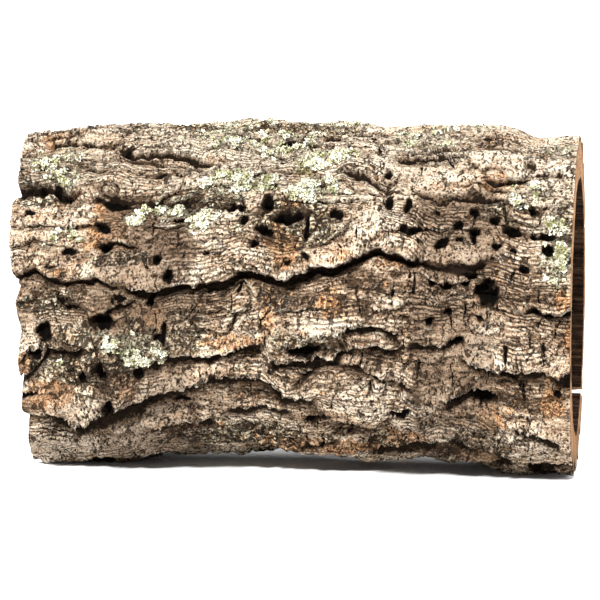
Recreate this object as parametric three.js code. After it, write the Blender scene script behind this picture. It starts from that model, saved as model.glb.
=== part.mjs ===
// Cork bark tube: the bark of one branch, stripped off whole, so it is a single hollow piece with a slit down its back.
// Units are millimetres. X runs along the tube, Y points away from the side view and Z is up from the floor.
// A turn is an angle round the tube in degrees: 0 at the front, 90 at the crown, 180 at the back, -90 underneath.
import * as THREE from "three";

const { degToRad, radToDeg, lerp, smoothstep } = THREE.MathUtils;

// Driving sizes of the tube
const rightCut = 150;
const outside = { halfDepth: 82.5, halfHeight: 88.5 };
const inside = { halfDepth: 65.5, halfHeight: 69.5 };
const axisHeight = 90;
const floorHeight = 0;
const girthRadius = 85;
const highestRelief = 6;
const deepestRelief = 13;

// Heights of the crown and of the underside along the tube: it is a little bowed and stands on its two ends
const crownLine = [
  [-150, 177.5], [-134, 178], [-115, 180.5], [-68, 182], [-35, 183.5], [26, 184.5], [80, 183], [112, 183],
  [128, 178.5], [150, 179],
];
const undersideLine = [
  [-150, 0.5], [-86, 0.5], [-75, 4], [-48, 7.5], [-10, 8], [5, 4.5], [45, 3.5], [67, 5.5], [92, 5.5],
  [121, 1], [150, -1],
];
const plateRise = 1;

// The stripping slit, as the turns of its two lips on the outer and the inner face
const slit = { outerLower: -137.2, outerUpper: 219.7, innerLower: -127, innerUpper: 229 };
const slitSway = { turn: 1, wavelength: 37, phase: 0.6 };
const slantShare = 0.12;

// How finely the faces are divided, and how strongly the rows crowd towards steep relief
const outerCells = { along: 64, round: 80 };
const innerCells = { along: 18, round: 32 };
const crowding = { steepness: 1.5, steepest: 3, front: 1.25, back: 0.8, samples: 720, blurAlong: 3, blurRound: 6 };

// The side view that plates and furrows are read from: 600 points each way, with the tube in its middle
const sideView = { middle: 300, focal: 3077, distance: 1665, height: 89, yaw: degToRad(8), pitch: degToRad(8) };

// The left end's rim in the side view, from the crown down to the underside
const leftRim = [
  [24, 140], [20, 165], [19, 185], [11, 195], [9, 230], [12, 265], [19, 283], [14, 300], [21, 330],
  [19, 358], [23, 373], [22, 405], [28, 414], [29, 440], [33, 452], [40, 458],
];
const leftBack = { middle: -146, sway: 2.2 };
const endCrack = { turn: -35.8, halfWidth: 1.3, depth: 6, reach: 30, crowding: 3 };

// Furrows under overhanging plates, read along each plate's lower lip in the side view.
// lip is how far the plate stands up, drop how deep the furrow is, and reach how soon the bark comes back up.
const furrows = {
  crownLeft: { line: [[45, 143], [72, 141], [95, 143], [122, 145]], lip: 1, drop: 3.5, reach: 6 },
  crownNotch: { line: [[118, 147], [135, 155], [157, 157], [182, 159], [220, 168]], lip: 2, drop: 5, reach: 7 },
  shoulderLeft: { line: [[0, 180], [47, 181], [62, 190], [83, 190]], lip: 3, drop: 10, reach: 8 },
  scoopLip: { line: [[98, 187], [141, 200], [170, 207], [205, 205]], lip: 1, drop: 4.5, reach: 9 },
  archLeft: { line: [[90, 247], [103, 244], [116, 239], [132, 247], [142, 254]], lip: 2, drop: 5, reach: 7 },
  bandLeft: { line: [[0, 274], [35, 266], [62, 281], [95, 279], [125, 289]], lip: 3, drop: 6, reach: 8 },
  mainUpper: {
    line: [
      [120, 287], [150, 294], [178, 289], [195, 292], [220, 287], [240, 276], [275, 288], [305, 278],
      [335, 270], [352, 260], [380, 253], [405, 261], [440, 273], [468, 268], [492, 262],
    ],
    lip: 4, drop: 10, reach: 12,
  },
  kneeLeft: { line: [[85, 326], [112, 309], [137, 307]], lip: 2, drop: 5, reach: 7 },
  shelfLeft: { line: [[0, 376], [22, 372], [50, 347], [75, 352], [88, 350]], lip: 2, drop: 5, reach: 8 },
  midLower: { line: [[138, 370], [168, 362], [212, 363], [246, 353], [264, 355]], lip: 3, drop: 6, reach: 8 },
  mainLower: {
    line: [
      [0, 402], [60, 409], [73, 418], [97, 412], [116, 407], [140, 401], [180, 395], [207, 386],
      [240, 383], [268, 387], [280, 402], [302, 401], [315, 409],
    ],
    lip: 4, drop: 9.5, reach: 11,
  },
  midCentre: { line: [[262, 372], [295, 367], [331, 367], [355, 350], [402, 356]], lip: 2.5, drop: 6, reach: 8 },
  overCentre: { line: [[322, 340], [345, 334], [372, 331], [404, 345]], lip: 2.5, drop: 5, reach: 7 },
  underShelf: { line: [[318, 420], [345, 424], [370, 427], [392, 420]], lip: 4, drop: 8, reach: 10 },
  midRight: { line: [[405, 352], [440, 352], [455, 343], [468, 349]], lip: 2, drop: 5, reach: 6 },
  shelfRight: {
    line: [[458, 360], [490, 368], [515, 371], [545, 364], [556, 373], [600, 374]],
    lip: 4, drop: 10, reach: 10,
  },
  holeRight: { line: [[440, 412], [462, 404], [478, 397], [497, 403]], lip: 2, drop: 5.5, reach: 9 },
  eavesUnder: {
    line: [[378, 452], [415, 447], [440, 441], [485, 447], [512, 457], [545, 466], [600, 474]],
    lip: 3, drop: 9, reach: 8,
  },
  archesRight: { line: [[515, 425], [535, 430], [556, 437], [566, 447]], lip: 2, drop: 5, reach: 6 },
  flangeLeft: { line: [[143, 433], [175, 430], [217, 436]], lip: 2.5, drop: 5.5, reach: 5 },
  flangeMiddle: { line: [[220, 424], [260, 420], [292, 424]], lip: 2, drop: 5, reach: 7 },
  notchRight: { line: [[526, 303], [550, 309], [600, 309]], lip: 2, drop: 8, reach: 6 },
  eavesRight: { line: [[393, 162], [425, 164], [455, 161], [472, 162]], lip: 1.5, drop: 4, reach: 5 },
  tongueRight: { line: [[476, 181], [497, 187], [512, 179], [524, 175]], lip: 2.5, drop: 5, reach: 8 },
  waveRight: { line: [[413, 195], [440, 207], [460, 204], [475, 200], [505, 199]], lip: 2, drop: 3.5, reach: 9 },
  crownMiddle: { line: [[232, 139], [255, 146], [278, 149], [298, 151]], lip: 1, drop: 3.5, reach: 6 },
  brow: { line: [[339, 178], [370, 182], [397, 200]], lip: 2, drop: 4, reach: 7 },
};
const furrowEdge = { fade: 8, beyond: 2, lipReach: 9, softness: 1.8 };

// Hollows and swellings of the plates: where in the side view, and how far they reach along and round
const hollows = {
  scoop: { at: [122, 198], along: 13, round: 8, depth: 6 },
  pocket: { at: [287, 238], along: 12, round: 9, depth: 6 },
  well: { at: [322, 358], along: 11, round: 5, depth: 6 },
  cave: { at: [370, 440], along: 16, round: 7, depth: 6 },
  rightHole: { at: [479, 409], along: 9, round: 6, depth: 6 },
  crevice: { at: [154, 325], along: 4, round: 14, depth: 4 },
};
const swellings = {
  pebble: { at: [286, 212], along: 9, round: 5, height: 3.5 },
  cheek: { at: [92, 272], along: 14, round: 6, height: 3 },
  belly: { at: [225, 330], along: 45, round: 16, height: 3 },
  hip: { at: [450, 305], along: 40, round: 14, height: 3 },
  shelf: { at: [355, 400], along: 26, round: 9, height: 4 },
  rightPlate: { at: [520, 350], along: 26, round: 7, height: 3 },
  shoulder: { at: [430, 225], along: 50, round: 12, height: 2 },
};

// The back has furrows of the same kind, spread by the golden ratio so that none line up
const goldenRatio = (Math.sqrt(5) - 1) / 2;
const backFurrows = { count: 30, first: 92, last: 300, shortest: 80, longest: 200, sway: 3.5, steps: 12 };
const shownTurns = { lowest: -88, highest: 92 };
const underFloor = 245;

// Four low places carry the tube on the floor
const feet = [
  { x: -110, turn: -81, along: 24, round: 11, height: 7 },
  { x: -114, turn: -99, along: 26, round: 12, height: 9 },
  { x: 126, turn: -80, along: 20, round: 10, height: 6 },
  { x: 124, turn: -98, along: 26, round: 11, height: 12 },
];

const millimetresRound = (turn) => degToRad(turn) * girthRadius;
const fraction = (value) => value - Math.floor(value);

const toViewer = new THREE.Vector3(
  Math.sin(sideView.yaw) * Math.cos(sideView.pitch),
  -Math.cos(sideView.yaw) * Math.cos(sideView.pitch),
  Math.sin(sideView.pitch),
);
const rightward = new THREE.Vector3(Math.cos(sideView.yaw), Math.sin(sideView.yaw), 0);
const upward = new THREE.Vector3().crossVectors(toViewer, rightward);
const eye = new THREE.Vector3(0, 0, sideView.height).addScaledVector(toViewer, sideView.distance);

// Where a point of the side view lies on the near side of the tube
function onBark([across, down]) {
  const ray = toViewer.clone().multiplyScalar(-sideView.focal);
  ray.addScaledVector(rightward, across - sideView.middle).addScaledVector(upward, sideView.middle - down);
  const from = new THREE.Vector2(eye.y / outside.halfDepth, (eye.z - axisHeight) / outside.halfHeight);
  const step = new THREE.Vector2(ray.y / outside.halfDepth, ray.z / outside.halfHeight);
  const a = step.lengthSq();
  const b = from.dot(step);
  const c = from.lengthSq() - 1;
  const distance = (-b - Math.sqrt(Math.max(b * b - a * c, 0))) / a;
  const hit = from.addScaledVector(step, distance);
  return { x: eye.x + ray.x * distance, turn: radToDeg(Math.atan2(hit.y, -hit.x)) };
}

// The height over x of a broken line of [x, height] points
function lineHeight(points, x) {
  const next = points.findIndex(([pointX]) => pointX > x);
  if (next < 0) return points.at(-1)[1];
  if (next === 0) return points[0][1];
  const [[lowX, low], [highX, high]] = [points[next - 1], points[next]];
  return lerp(low, high, (x - lowX) / (highX - lowX));
}

function seenFurrow({ line, ...profile }) {
  const points = line.map(onBark).map(({ x, turn }) => [x, millimetresRound(turn)]);
  return { ...profile, points, downhill: 1 };
}

function backFurrow(index) {
  const spot = fraction(index * goldenRatio);
  const turn = lerp(backFurrows.first, backFurrows.last, (index + 0.5) / backFurrows.count);
  const half = lerp(backFurrows.shortest, backFurrows.longest, fraction(index * goldenRatio * 3)) / 2;
  const start = lerp(-rightCut, rightCut, spot) - half;
  const round = millimetresRound(turn > slit.outerUpper ? turn - 360 : turn);
  const points = Array.from({ length: backFurrows.steps + 1 }, (_, step) => {
    const x = start + (2 * half * step) / backFurrows.steps;
    const waves = Math.sin(x / 21 + index * 2.4) + 0.7 * Math.sin(x / 9.5 + index * 1.3);
    return [x, round + backFurrows.sway * waves];
  });
  const lip = 2 + spot;
  const drop = 5.5 + 3 * fraction(index * 0.37);
  return { points, lip, drop, reach: 7 + 4 * spot, downhill: turn < underFloor ? -1 : 1 };
}

const allFurrows = [
  ...Object.values(furrows).map(seenFurrow),
  ...Array.from({ length: backFurrows.count }, (_, index) => backFurrow(index)),
];
const allMounds = [
  ...Object.values(hollows).map((hollow) => ({ ...hollow, ...onBark(hollow.at), height: -hollow.depth })),
  ...Object.values(swellings).map((swelling) => ({ ...swelling, ...onBark(swelling.at) })),
  ...feet,
];

// Slow rise and fall of the bark that no plate explains
function swell(x, turn) {
  const round = degToRad(turn);
  return (
    0.9 * Math.sin(x / 31 + 2 * round + 0.4) +
    0.8 * Math.sin(x / 47 - 3 * round + 2.1) +
    0.6 * Math.sin(x / 13 + 5 * round) +
    0.6 * Math.sin(x / 17 - 7 * round + 1.2) +
    0.8 * Math.sin(x / 52 + 11 * round + 0.8) +
    0.7 * Math.sin(x / 36 - 19 * round) +
    0.5 * Math.sin(x / 21 + 29 * round + 2.6)
  );
}

// How much of a furrow is there at x: it runs out softly at both its ends
function furrowStrength({ points }, x) {
  const [start, end] = [points[0][0], points.at(-1)[0]];
  const { fade, beyond } = furrowEdge;
  return smoothstep(x, start - beyond, start + fade) * (1 - smoothstep(x, end - fade, end + beyond));
}

function furrowRelief({ strength, height, lip, drop, reach, downhill }, round) {
  const below = (height - round) * downhill;
  const under = smoothstep(below, -furrowEdge.softness, furrowEdge.softness);
  const raised = lip * Math.exp(-Math.abs(below) / furrowEdge.lipReach) * (1 - under);
  const sunk = drop * Math.exp(-Math.abs(below) / reach) * under;
  return strength * (raised - sunk);
}

function moundRelief(mound, x, round) {
  const away = ((x - mound.x) / mound.along) ** 2 + ((round - millimetresRound(mound.turn)) / mound.round) ** 2;
  return mound.height * Math.exp(-away);
}

// How far the outer face stands out from the mean of the bark, as a function of the turn at one x
function reliefAlong(x) {
  const crossed = allFurrows
    .map((furrow) => ({ ...furrow, strength: furrowStrength(furrow, x), height: lineHeight(furrow.points, x) }))
    .filter(({ strength }) => strength > 0);
  return (turn) => {
    const round = millimetresRound(turn);
    const cut = crossed.reduce((sum, furrow) => sum + furrowRelief(furrow, round), 0);
    const mounds = allMounds.reduce((sum, mound) => sum + moundRelief(mound, x, round), 0);
    const height = swell(x, turn) + cut + mounds;
    const limit = height > 0 ? highestRelief : deepestRelief;
    return limit * Math.tanh(height / limit);
  };
}

const leftRimTurns = leftRim.map(onBark).map(({ x, turn }) => [-turn, x]);

// The x of the left end at a turn
function leftCut(turn) {
  const seen = lineHeight(leftRimTurns, -turn);
  const hidden = leftBack.middle + leftBack.sway * Math.sin(degToRad(turn) * 4);
  const shown = smoothstep(turn, -100, -80) * (1 - smoothstep(turn, 80, 100));
  const crack = endCrack.depth * Math.exp(-(((turn - endCrack.turn) / endCrack.halfWidth) ** 2));
  return lerp(hidden, seen, shown) + crack;
}

// The middle of the tube's section at x, and how much taller or lower than the usual it is
function sectionAt(x) {
  const [top, bottom] = [lineHeight(crownLine, x), lineHeight(undersideLine, x)];
  return { middle: (top + bottom) / 2, taller: (top - bottom) / 2 - plateRise - outside.halfHeight };
}

function outerPoint(share, turn) {
  const x = lerp(leftCut(turn), rightCut, share);
  const height = reliefAlong(x)(turn);
  const section = sectionAt(x);
  const round = degToRad(turn);
  const y = -(outside.halfDepth + height) * Math.cos(round);
  const z = section.middle + (outside.halfHeight + section.taller + height) * Math.sin(round);
  return new THREE.Vector3(x, y, Math.max(z, floorHeight));
}

function innerPoint(share, turn) {
  const x = lerp(leftCut(turn), rightCut, share);
  const round = degToRad(turn);
  const ribs = 0.9 * Math.sin(5 * round + x / 60) + 0.7 * Math.sin(9 * round - x / 45 + 1);
  const dents = 0.5 * Math.sin(2 * round + x / 22);
  const y = -(inside.halfDepth + ribs + dents) * Math.cos(round);
  const z = sectionAt(x).middle + (inside.halfHeight + ribs + dents) * Math.sin(round);
  return new THREE.Vector3(x, y, z);
}

// The mean of the numbers round each place in a list
function blurred(values, reach) {
  return values.map((_, place) => {
    const near = values.slice(Math.max(place - reach, 0), place + reach + 1);
    return near.reduce((sum, value) => sum + value, 0) / near.length;
  });
}

const transposed = (table) => table[0].map((_, place) => table.map((row) => row[place]));

const columnX = (along) => lerp(-rightCut, rightCut, along);

function lipsAt(x) {
  const sway = slitSway.turn * Math.sin(x / slitSway.wavelength + slitSway.phase);
  return { lower: slit.outerLower + sway, upper: slit.outerUpper + sway };
}

// How many corners each short stretch of one column needs: many where the relief is steep, few where it is calm
function needsAlong(x) {
  const { lower, upper } = lipsAt(x);
  const stepTurn = (upper - lower) / crowding.samples;
  const turns = Array.from({ length: crowding.samples + 1 }, (_, i) => lower + i * stepTurn);
  const heights = turns.map(reliefAlong(x));
  const atCrack = endCrack.crowding * (1 - smoothstep(x, -rightCut, endCrack.reach - rightCut));
  return turns.slice(1).map((turn, i) => {
    const steep = Math.abs(heights[i + 1] - heights[i]) / millimetresRound(stepTurn);
    const isShown = turn > shownTurns.lowest && turn < shownTurns.highest;
    const shown = isShown ? crowding.front : crowding.back;
    const crack = atCrack * Math.exp(-(((turn - endCrack.turn) / (2 * endCrack.halfWidth)) ** 2));
    return shown * (1 + crowding.steepness * Math.min(steep, crowding.steepest)) + crack;
  });
}

// The turns that share one column's needs out evenly
function sharedOut(needs, x) {
  const { lower, upper } = lipsAt(x);
  const totals = [0];
  for (const need of needs) totals.push(totals.at(-1) + need);
  const turns = [lower];
  let sample = 0;
  for (let row = 1; row < outerCells.round; row++) {
    const wanted = (totals.at(-1) * row) / outerCells.round;
    while (totals[sample + 1] < wanted) sample++;
    const part = (wanted - totals[sample]) / (totals[sample + 1] - totals[sample]);
    turns.push(lerp(lower, upper, (sample + part) / needs.length));
  }
  return [...turns, upper];
}

const alongs = (cells) => Array.from({ length: cells.along + 1 }, (_, i) => i / cells.along);

// The turns of every outer corner, column by column, without jumps from one column to the next
function outerTurns() {
  const columns = alongs(outerCells).map(columnX);
  const needs = columns.map((x) => blurred(needsAlong(x), crowding.blurRound));
  const calm = transposed(transposed(needs).map((row) => blurred(row, crowding.blurAlong)));
  return calm.map((column, i) => sharedOut(column, columns[i]));
}

const corners = [];
const triangles = [];

// share is how far round the tube the corner is, from lip to lip of the slit, and along how far from left to right
function addCorner(point, share, along) {
  corners.push(point.x, point.y, point.z);
  return { corner: corners.length / 3 - 1, share, along };
}

// Two triangles for each cell of a face whose columns run along X and whose rows run up round the tube
function addFace(columns, inward) {
  for (let i = 0; i + 1 < columns.length; i++) {
    for (let j = 0; j + 1 < columns[i].length; j++) {
      const [a, b] = [columns[i][j].corner, columns[i + 1][j].corner];
      const [c, d] = [columns[i + 1][j + 1].corner, columns[i][j + 1].corner];
      triangles.push(...(inward ? [a, c, b, a, d, c] : [a, b, c, a, c, d]));
    }
  }
}

// Fills the strip between an outer and an inner edge that run the same way, whatever their numbers of corners
function addStrip(outer, inner, measure, flip) {
  let [i, k] = [0, 0];
  while (i + 1 < outer.length || k + 1 < inner.length) {
    const outerLeft = i + 1 < outer.length;
    const outerNext = outerLeft && (k + 1 === inner.length || outer[i + 1][measure] <= inner[k + 1][measure]);
    const third = outerNext ? outer[i + 1] : inner[k + 1];
    const [a, b, c] = [outer[i].corner, inner[k].corner, third.corner];
    triangles.push(...(flip ? [a, c, b] : [a, b, c]));
    if (outerNext) i++;
    else k++;
  }
}

function outerColumn(turns, along) {
  const [first, last] = [turns[0], turns.at(-1)];
  return turns.map((turn) => addCorner(outerPoint(along, turn), (turn - first) / (last - first), along));
}

// The inner face follows the outer one, but its lips lie further round, because the slit was cut aslant
function innerColumn(along) {
  const { lower, upper } = lipsAt(columnX(along));
  return Array.from({ length: innerCells.round + 1 }, (_, row) => {
    const share = row / innerCells.round;
    const slantLower = (slit.innerLower - slit.outerLower) * (1 - smoothstep(share, 0, slantShare));
    const slantUpper = (slit.innerUpper - slit.outerUpper) * smoothstep(share, 1 - slantShare, 1);
    return addCorner(innerPoint(along, lerp(lower, upper, share) + slantLower + slantUpper), share, along);
  });
}

const rowOf = (columns, row) => columns.map((column) => column.at(row));

function barkGeometry() {
  const outer = outerTurns().map((turns, i) => outerColumn(turns, i / outerCells.along));
  const inner = alongs(innerCells).map(innerColumn);
  addFace(outer, false);
  addFace(inner, true);
  addStrip(outer.at(-1), inner.at(-1), "share", false);
  addStrip(outer[0], inner[0], "share", true);
  addStrip(rowOf(outer, 0), rowOf(inner, 0), "along", false);
  addStrip(rowOf(outer, -1), rowOf(inner, -1), "along", true);
  const geometry = new THREE.BufferGeometry();
  geometry.setAttribute("position", new THREE.Float32BufferAttribute(corners, 3));
  geometry.setIndex(triangles);
  geometry.computeVertexNormals();
  return geometry;
}

const cork = new THREE.MeshStandardMaterial({ color: 0x9a866c, roughness: 0.92, metalness: 0 });
const bark = new THREE.Mesh(barkGeometry(), cork);
bark.name = "cork_bark_tube";

const tube = new THREE.Group();
tube.add(bark);

export default tube;
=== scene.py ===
# Cork bark tube: the bark of one branch as a hollow tube, with weathered plates, sawn rims, a dark bore
# and lichen.
# Lengths are millimetres until a mesh is finished. X runs along the tube and Z is up from the floor.
# A turn is an angle round the tube in degrees: 0 at the front, 90 at the crown, 180 at the back and
# -90 underneath. A distance round is a turn in millimetres along the tube's mean girth.
import math

import bmesh
import bpy
import numpy as np
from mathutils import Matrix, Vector


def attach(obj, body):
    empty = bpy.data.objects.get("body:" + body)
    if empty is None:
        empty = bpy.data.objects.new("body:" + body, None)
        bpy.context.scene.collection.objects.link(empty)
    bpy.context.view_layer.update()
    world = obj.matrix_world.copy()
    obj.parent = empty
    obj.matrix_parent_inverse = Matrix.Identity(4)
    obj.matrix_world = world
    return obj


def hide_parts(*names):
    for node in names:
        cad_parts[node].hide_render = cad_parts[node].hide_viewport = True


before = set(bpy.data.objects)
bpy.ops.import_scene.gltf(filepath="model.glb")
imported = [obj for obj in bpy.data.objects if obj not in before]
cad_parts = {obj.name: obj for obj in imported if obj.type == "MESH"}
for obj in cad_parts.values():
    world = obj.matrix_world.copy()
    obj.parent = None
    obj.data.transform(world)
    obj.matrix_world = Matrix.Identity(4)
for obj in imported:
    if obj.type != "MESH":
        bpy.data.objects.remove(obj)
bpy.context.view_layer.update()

MILLIMETRE = 0.001

# The tube's own sizes, the same as the solid's
RIGHT_CUT = 150
OUTSIDE_DEPTH, OUTSIDE_HEIGHT = 82.5, 88.5
INSIDE_DEPTH, INSIDE_HEIGHT = 65.5, 69.5
WALL = OUTSIDE_DEPTH - INSIDE_DEPTH
AXIS_HEIGHT = 90
GIRTH_RADIUS = 85
HIGHEST_RELIEF, DEEPEST_RELIEF = 6, 13
PLATE_RISE = 1
CROWN_LINE = [
    (-150, 177.5), (-134, 178), (-115, 180.5), (-68, 182), (-35, 183.5), (26, 184.5), (80, 183), (112, 183),
    (128, 178.5), (150, 179),
]
UNDERSIDE_LINE = [
    (-150, 0.5), (-86, 0.5), (-75, 4), (-48, 7.5), (-10, 8), (5, 4.5), (45, 3.5), (67, 5.5), (92, 5.5),
    (121, 1), (150, -1),
]
SLIT_LOWER, SLIT_UPPER = -137.2, 219.7
SLANT_LOWER, SLANT_UPPER, SLANT_SHARE = 10.2, 9.3, 0.12
SWAY_TURN, SWAY_WAVELENGTH, SWAY_PHASE = 1, 37, 0.6
LEFT_RIM = [
    (24, 140), (20, 165), (19, 185), (11, 195), (9, 230), (12, 265), (19, 283), (14, 300), (21, 330),
    (19, 358), (23, 373), (22, 405), (28, 414), (29, 440), (33, 452), (40, 458),
]
LEFT_BACK, LEFT_BACK_SWAY = -146, 2.2
CRACK_TURN, CRACK_WIDTH, CRACK_DEPTH = -35.8, 1.3, 6

# The side view that places are read from, measured in points, with the tube in its middle
VIEW_SIZE = 600
VIEW_MIDDLE = VIEW_SIZE / 2
VIEW_FOCAL = 3077
VIEW_DISTANCE = 1665
VIEW_HEIGHT = 89
VIEW_YAW = math.radians(8)
VIEW_PITCH = math.radians(8)
POINT_SIZE = 0.541

# Furrows under overhanging plates: the line of each lower lip in the side view, then lip, drop and reach,
# and for the lips that are thick and round how softly they turn under
FURROWS = {
    "crown_left": ([(45, 143), (72, 141), (95, 143), (122, 145)], 1, 3.5, 6),
    "crown_notch": ([(118, 147), (135, 155), (157, 157), (182, 159), (220, 168)], 2, 5, 7),
    "shoulder_left": ([(0, 180), (47, 181), (62, 190), (83, 190)], 3, 10, 8),
    "scoop_lip": ([(98, 187), (141, 200), (170, 207), (205, 205)], 1, 4.5, 9, 2.2),
    "arch_left": ([(90, 247), (103, 244), (116, 239), (132, 247), (142, 254)], 2, 5, 7),
    "band_left": ([(0, 274), (35, 266), (62, 281), (95, 279), (125, 289)], 3, 6, 8, 2),
    "main_upper": (
        [(120, 287), (150, 294), (178, 289), (195, 292), (220, 287), (240, 276), (275, 288), (305, 278),
         (335, 270), (352, 260), (380, 253), (405, 261), (424, 268)],
        4, 10, 12,
    ),
    "main_upper_end": ([(408, 262), (440, 274), (468, 271), (492, 264)], 4, 4, 5.5, 2.6),
    "knee_left": ([(85, 326), (112, 309), (137, 307)], 2, 5, 7),
    "shelf_left": ([(0, 376), (22, 372), (50, 347), (75, 352), (88, 350)], 2, 5, 8),
    "mid_lower": ([(138, 370), (168, 362), (212, 363), (246, 353), (264, 355)], 3, 6, 8),
    "main_lower": (
        [(0, 402), (60, 409), (73, 418), (97, 412), (116, 407), (140, 401), (180, 395), (207, 386),
         (240, 383), (268, 387), (280, 402), (302, 401), (315, 409)],
        4, 9.5, 11,
    ),
    "mid_centre": ([(262, 372), (295, 367), (331, 367), (355, 350), (402, 356)], 2.5, 6, 8),
    "over_centre": ([(322, 340), (345, 334), (372, 331), (404, 345)], 2.5, 5, 7),
    "under_shelf": ([(318, 420), (345, 424), (370, 427), (392, 420)], 4, 8, 10),
    "mid_right": ([(405, 352), (440, 352), (455, 343), (468, 349)], 2, 5, 6),
    "shelf_right": ([(458, 360), (490, 368), (515, 371), (545, 364), (556, 373), (600, 374)], 4, 10, 10),
    "hole_right": ([(440, 412), (462, 404), (478, 397), (497, 403)], 2, 5.5, 9),
    "eaves_under": (
        [(378, 452), (415, 447), (440, 441), (485, 447), (512, 457), (545, 466), (600, 474)],
        3, 9, 8,
    ),
    "arches_right": ([(515, 425), (535, 430), (556, 437), (566, 447)], 2, 5, 6),
    "flange_left": ([(143, 433), (175, 430), (217, 436)], 2.5, 5.5, 5),
    "flange_middle": ([(220, 424), (260, 420), (292, 424)], 2, 5, 7),
    "notch_right": ([(526, 303), (550, 309), (600, 309)], 2, 8, 6),
    "eaves_right": ([(393, 162), (425, 164), (455, 161), (472, 162)], 1.5, 4, 5),
    "tongue_right": ([(476, 181), (497, 187), (512, 179), (524, 175)], 2.5, 5, 8),
    "wave_right": ([(413, 195), (440, 207), (460, 204), (475, 200), (505, 199)], 2.5, 4, 9, 2.6),
    "crown_middle": ([(232, 139), (255, 146), (278, 149), (298, 151)], 1, 3.5, 6),
    "brow": ([(339, 178), (370, 182), (397, 200)], 2, 4, 7),
}
LIP_REACH = 9
FADE_IN, FADE_OUT = 8, 2
LIP_SOFTNESS, BACK_SOFTNESS = 0.8, 1.5

# How far a plate hangs over its furrow for its size, and how far from the lip it hangs, gets a painted
# highlight and draws the scales along with it
SHOWN_HANG, BACK_HANG, LEDGE_HANG = 0.2, 0.12, 0.3
HANG_REACH, HIGHLIGHT_REACH, FOLLOW_REACH = 5, 1.8, 14

# From where to where a drop gets painted shade, a size gets a painted highlight along its edge, a lip counts
# as round, and the painted shade round a round one fades
SHADED_DROPS, HIGHLIGHTED_SIZES, ROUND_LIPS, BROW_SHADE_FADE = (0.5, 5), (1, 8), (1.6, 2.4), (0.4, 2.6)

# Slow rise and fall of the bark that no plate explains, and low ribs along the bore: how high each wave
# is, its wavelength along the tube divided by 2 pi, how often it goes round and where it starts
SWELL = [
    (0.9, 31, 2, 0.4), (0.8, 47, -3, 2.1), (0.6, 13, 5, 0), (0.6, 17, -7, 1.2), (0.8, 52, 11, 0.8),
    (0.7, 36, -19, 0), (0.5, 21, 29, 2.6),
]
BORE_RIBS = [(0.9, 60, 5, 0), (0.7, -45, 9, 1), (0.5, 22, 2, 0)]

# The dark gap right under each lip, dug a little and coloured with painted shade: wider where the bark
# faces the floor, because the lip hides more of it there
GAP_SHARE, UNDERCUT_SHARE, CAVE_DEPTH = 0.34, 0.72, 0.3
GAP_FADE = 0.65, 1.3
HIDDEN_ANGLE = math.radians(48)

# Thin ledges that only the finished bark has, in the same form
THIN_LEDGES = {
    "crown_scale": ([(155, 177), (160, 173), (166, 172), (170, 176)], 0.5, 2.5, 3),
    "left_corner": ([(18, 235), (25, 248), (34, 257)], 0.6, 2, 3),
    "left_crease": ([(40, 263), (48, 258), (57, 257)], 0.5, 2, 3),
    "left_arch": ([(88, 385), (91, 366), (97, 362), (104, 372), (107, 385)], 1, 4, 4),
    "centre_flake": ([(330, 352), (345, 352), (365, 348), (382, 357), (402, 356)], 0.8, 2.5, 3),
    "right_step": ([(450, 333), (462, 335), (470, 333), (488, 328)], 0.8, 2.5, 3),
    "right_scale": ([(432, 193), (445, 192), (452, 188), (460, 189)], 0.6, 2, 3),
    "crown_flake": ([(268, 151), (278, 149), (290, 150), (297, 151)], 0.6, 2, 3),
    "pocket_rim": ([(243, 223), (247, 229), (252, 235)], 0.4, 2, 3),
    "upper_flake": ([(196, 178), (222, 174), (240, 182), (262, 181)], 0.8, 2.2, 3),
    "upper_step": ([(205, 240), (225, 246), (247, 243)], 0.8, 2.2, 3),
    "belly_step": ([(170, 318), (205, 322), (240, 315), (262, 319)], 1, 2.6, 3.5),
    "belly_flake": ([(186, 342), (214, 339), (240, 336), (262, 341)], 0.8, 2.2, 3),
    "hip_step": ([(375, 300), (402, 306), (426, 303), (440, 309)], 0.9, 2.4, 3.5),
    "hip_flake": ([(392, 322), (415, 326), (444, 322)], 0.7, 2.2, 3),
    "right_ripple": ([(500, 283), (524, 287), (548, 281), (571, 284)], 0.9, 2.4, 3),
    "right_lower": ([(500, 398), (525, 402), (548, 397), (571, 401)], 0.9, 2.6, 3.5),
    "low_left": ([(40, 432), (75, 436), (108, 430), (138, 434)], 0.8, 2.2, 3),
    "low_middle": ([(230, 442), (262, 440), (300, 446)], 0.8, 2.4, 3),
    "crown_right": ([(480, 146), (505, 143), (530, 147), (566, 146)], 0.7, 2.2, 3),
    "crown_far": ([(330, 158), (352, 156), (384, 160)], 0.7, 2.2, 3),
}

# Ledges whose free edge points up: the rims of shells that stand on the bark
UPTURNED_LEDGES = {
    "shelf_top": (
        [(284, 404), (304, 391), (326, 380), (337, 377), (352, 380), (384, 389), (400, 396), (414, 408),
         (432, 415)],
        2.4, 2.6, 4,
    ),
    "shelf_inner": ([(320, 396), (338, 389), (366, 390), (384, 400)], 1, 1.6, 3),
    "left_shell": ([(52, 398), (70, 386), (94, 388), (112, 398)], 1.4, 2, 4),
    "upper_shell": ([(150, 186), (170, 178), (196, 180), (212, 190)], 1.2, 2, 4),
    "low_shell": ([(176, 446), (205, 436), (240, 437), (262, 446)], 1.2, 2, 4),
    "right_shell": ([(466, 392), (486, 384), (512, 386), (530, 396)], 1.2, 1.8, 4),
}

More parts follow.
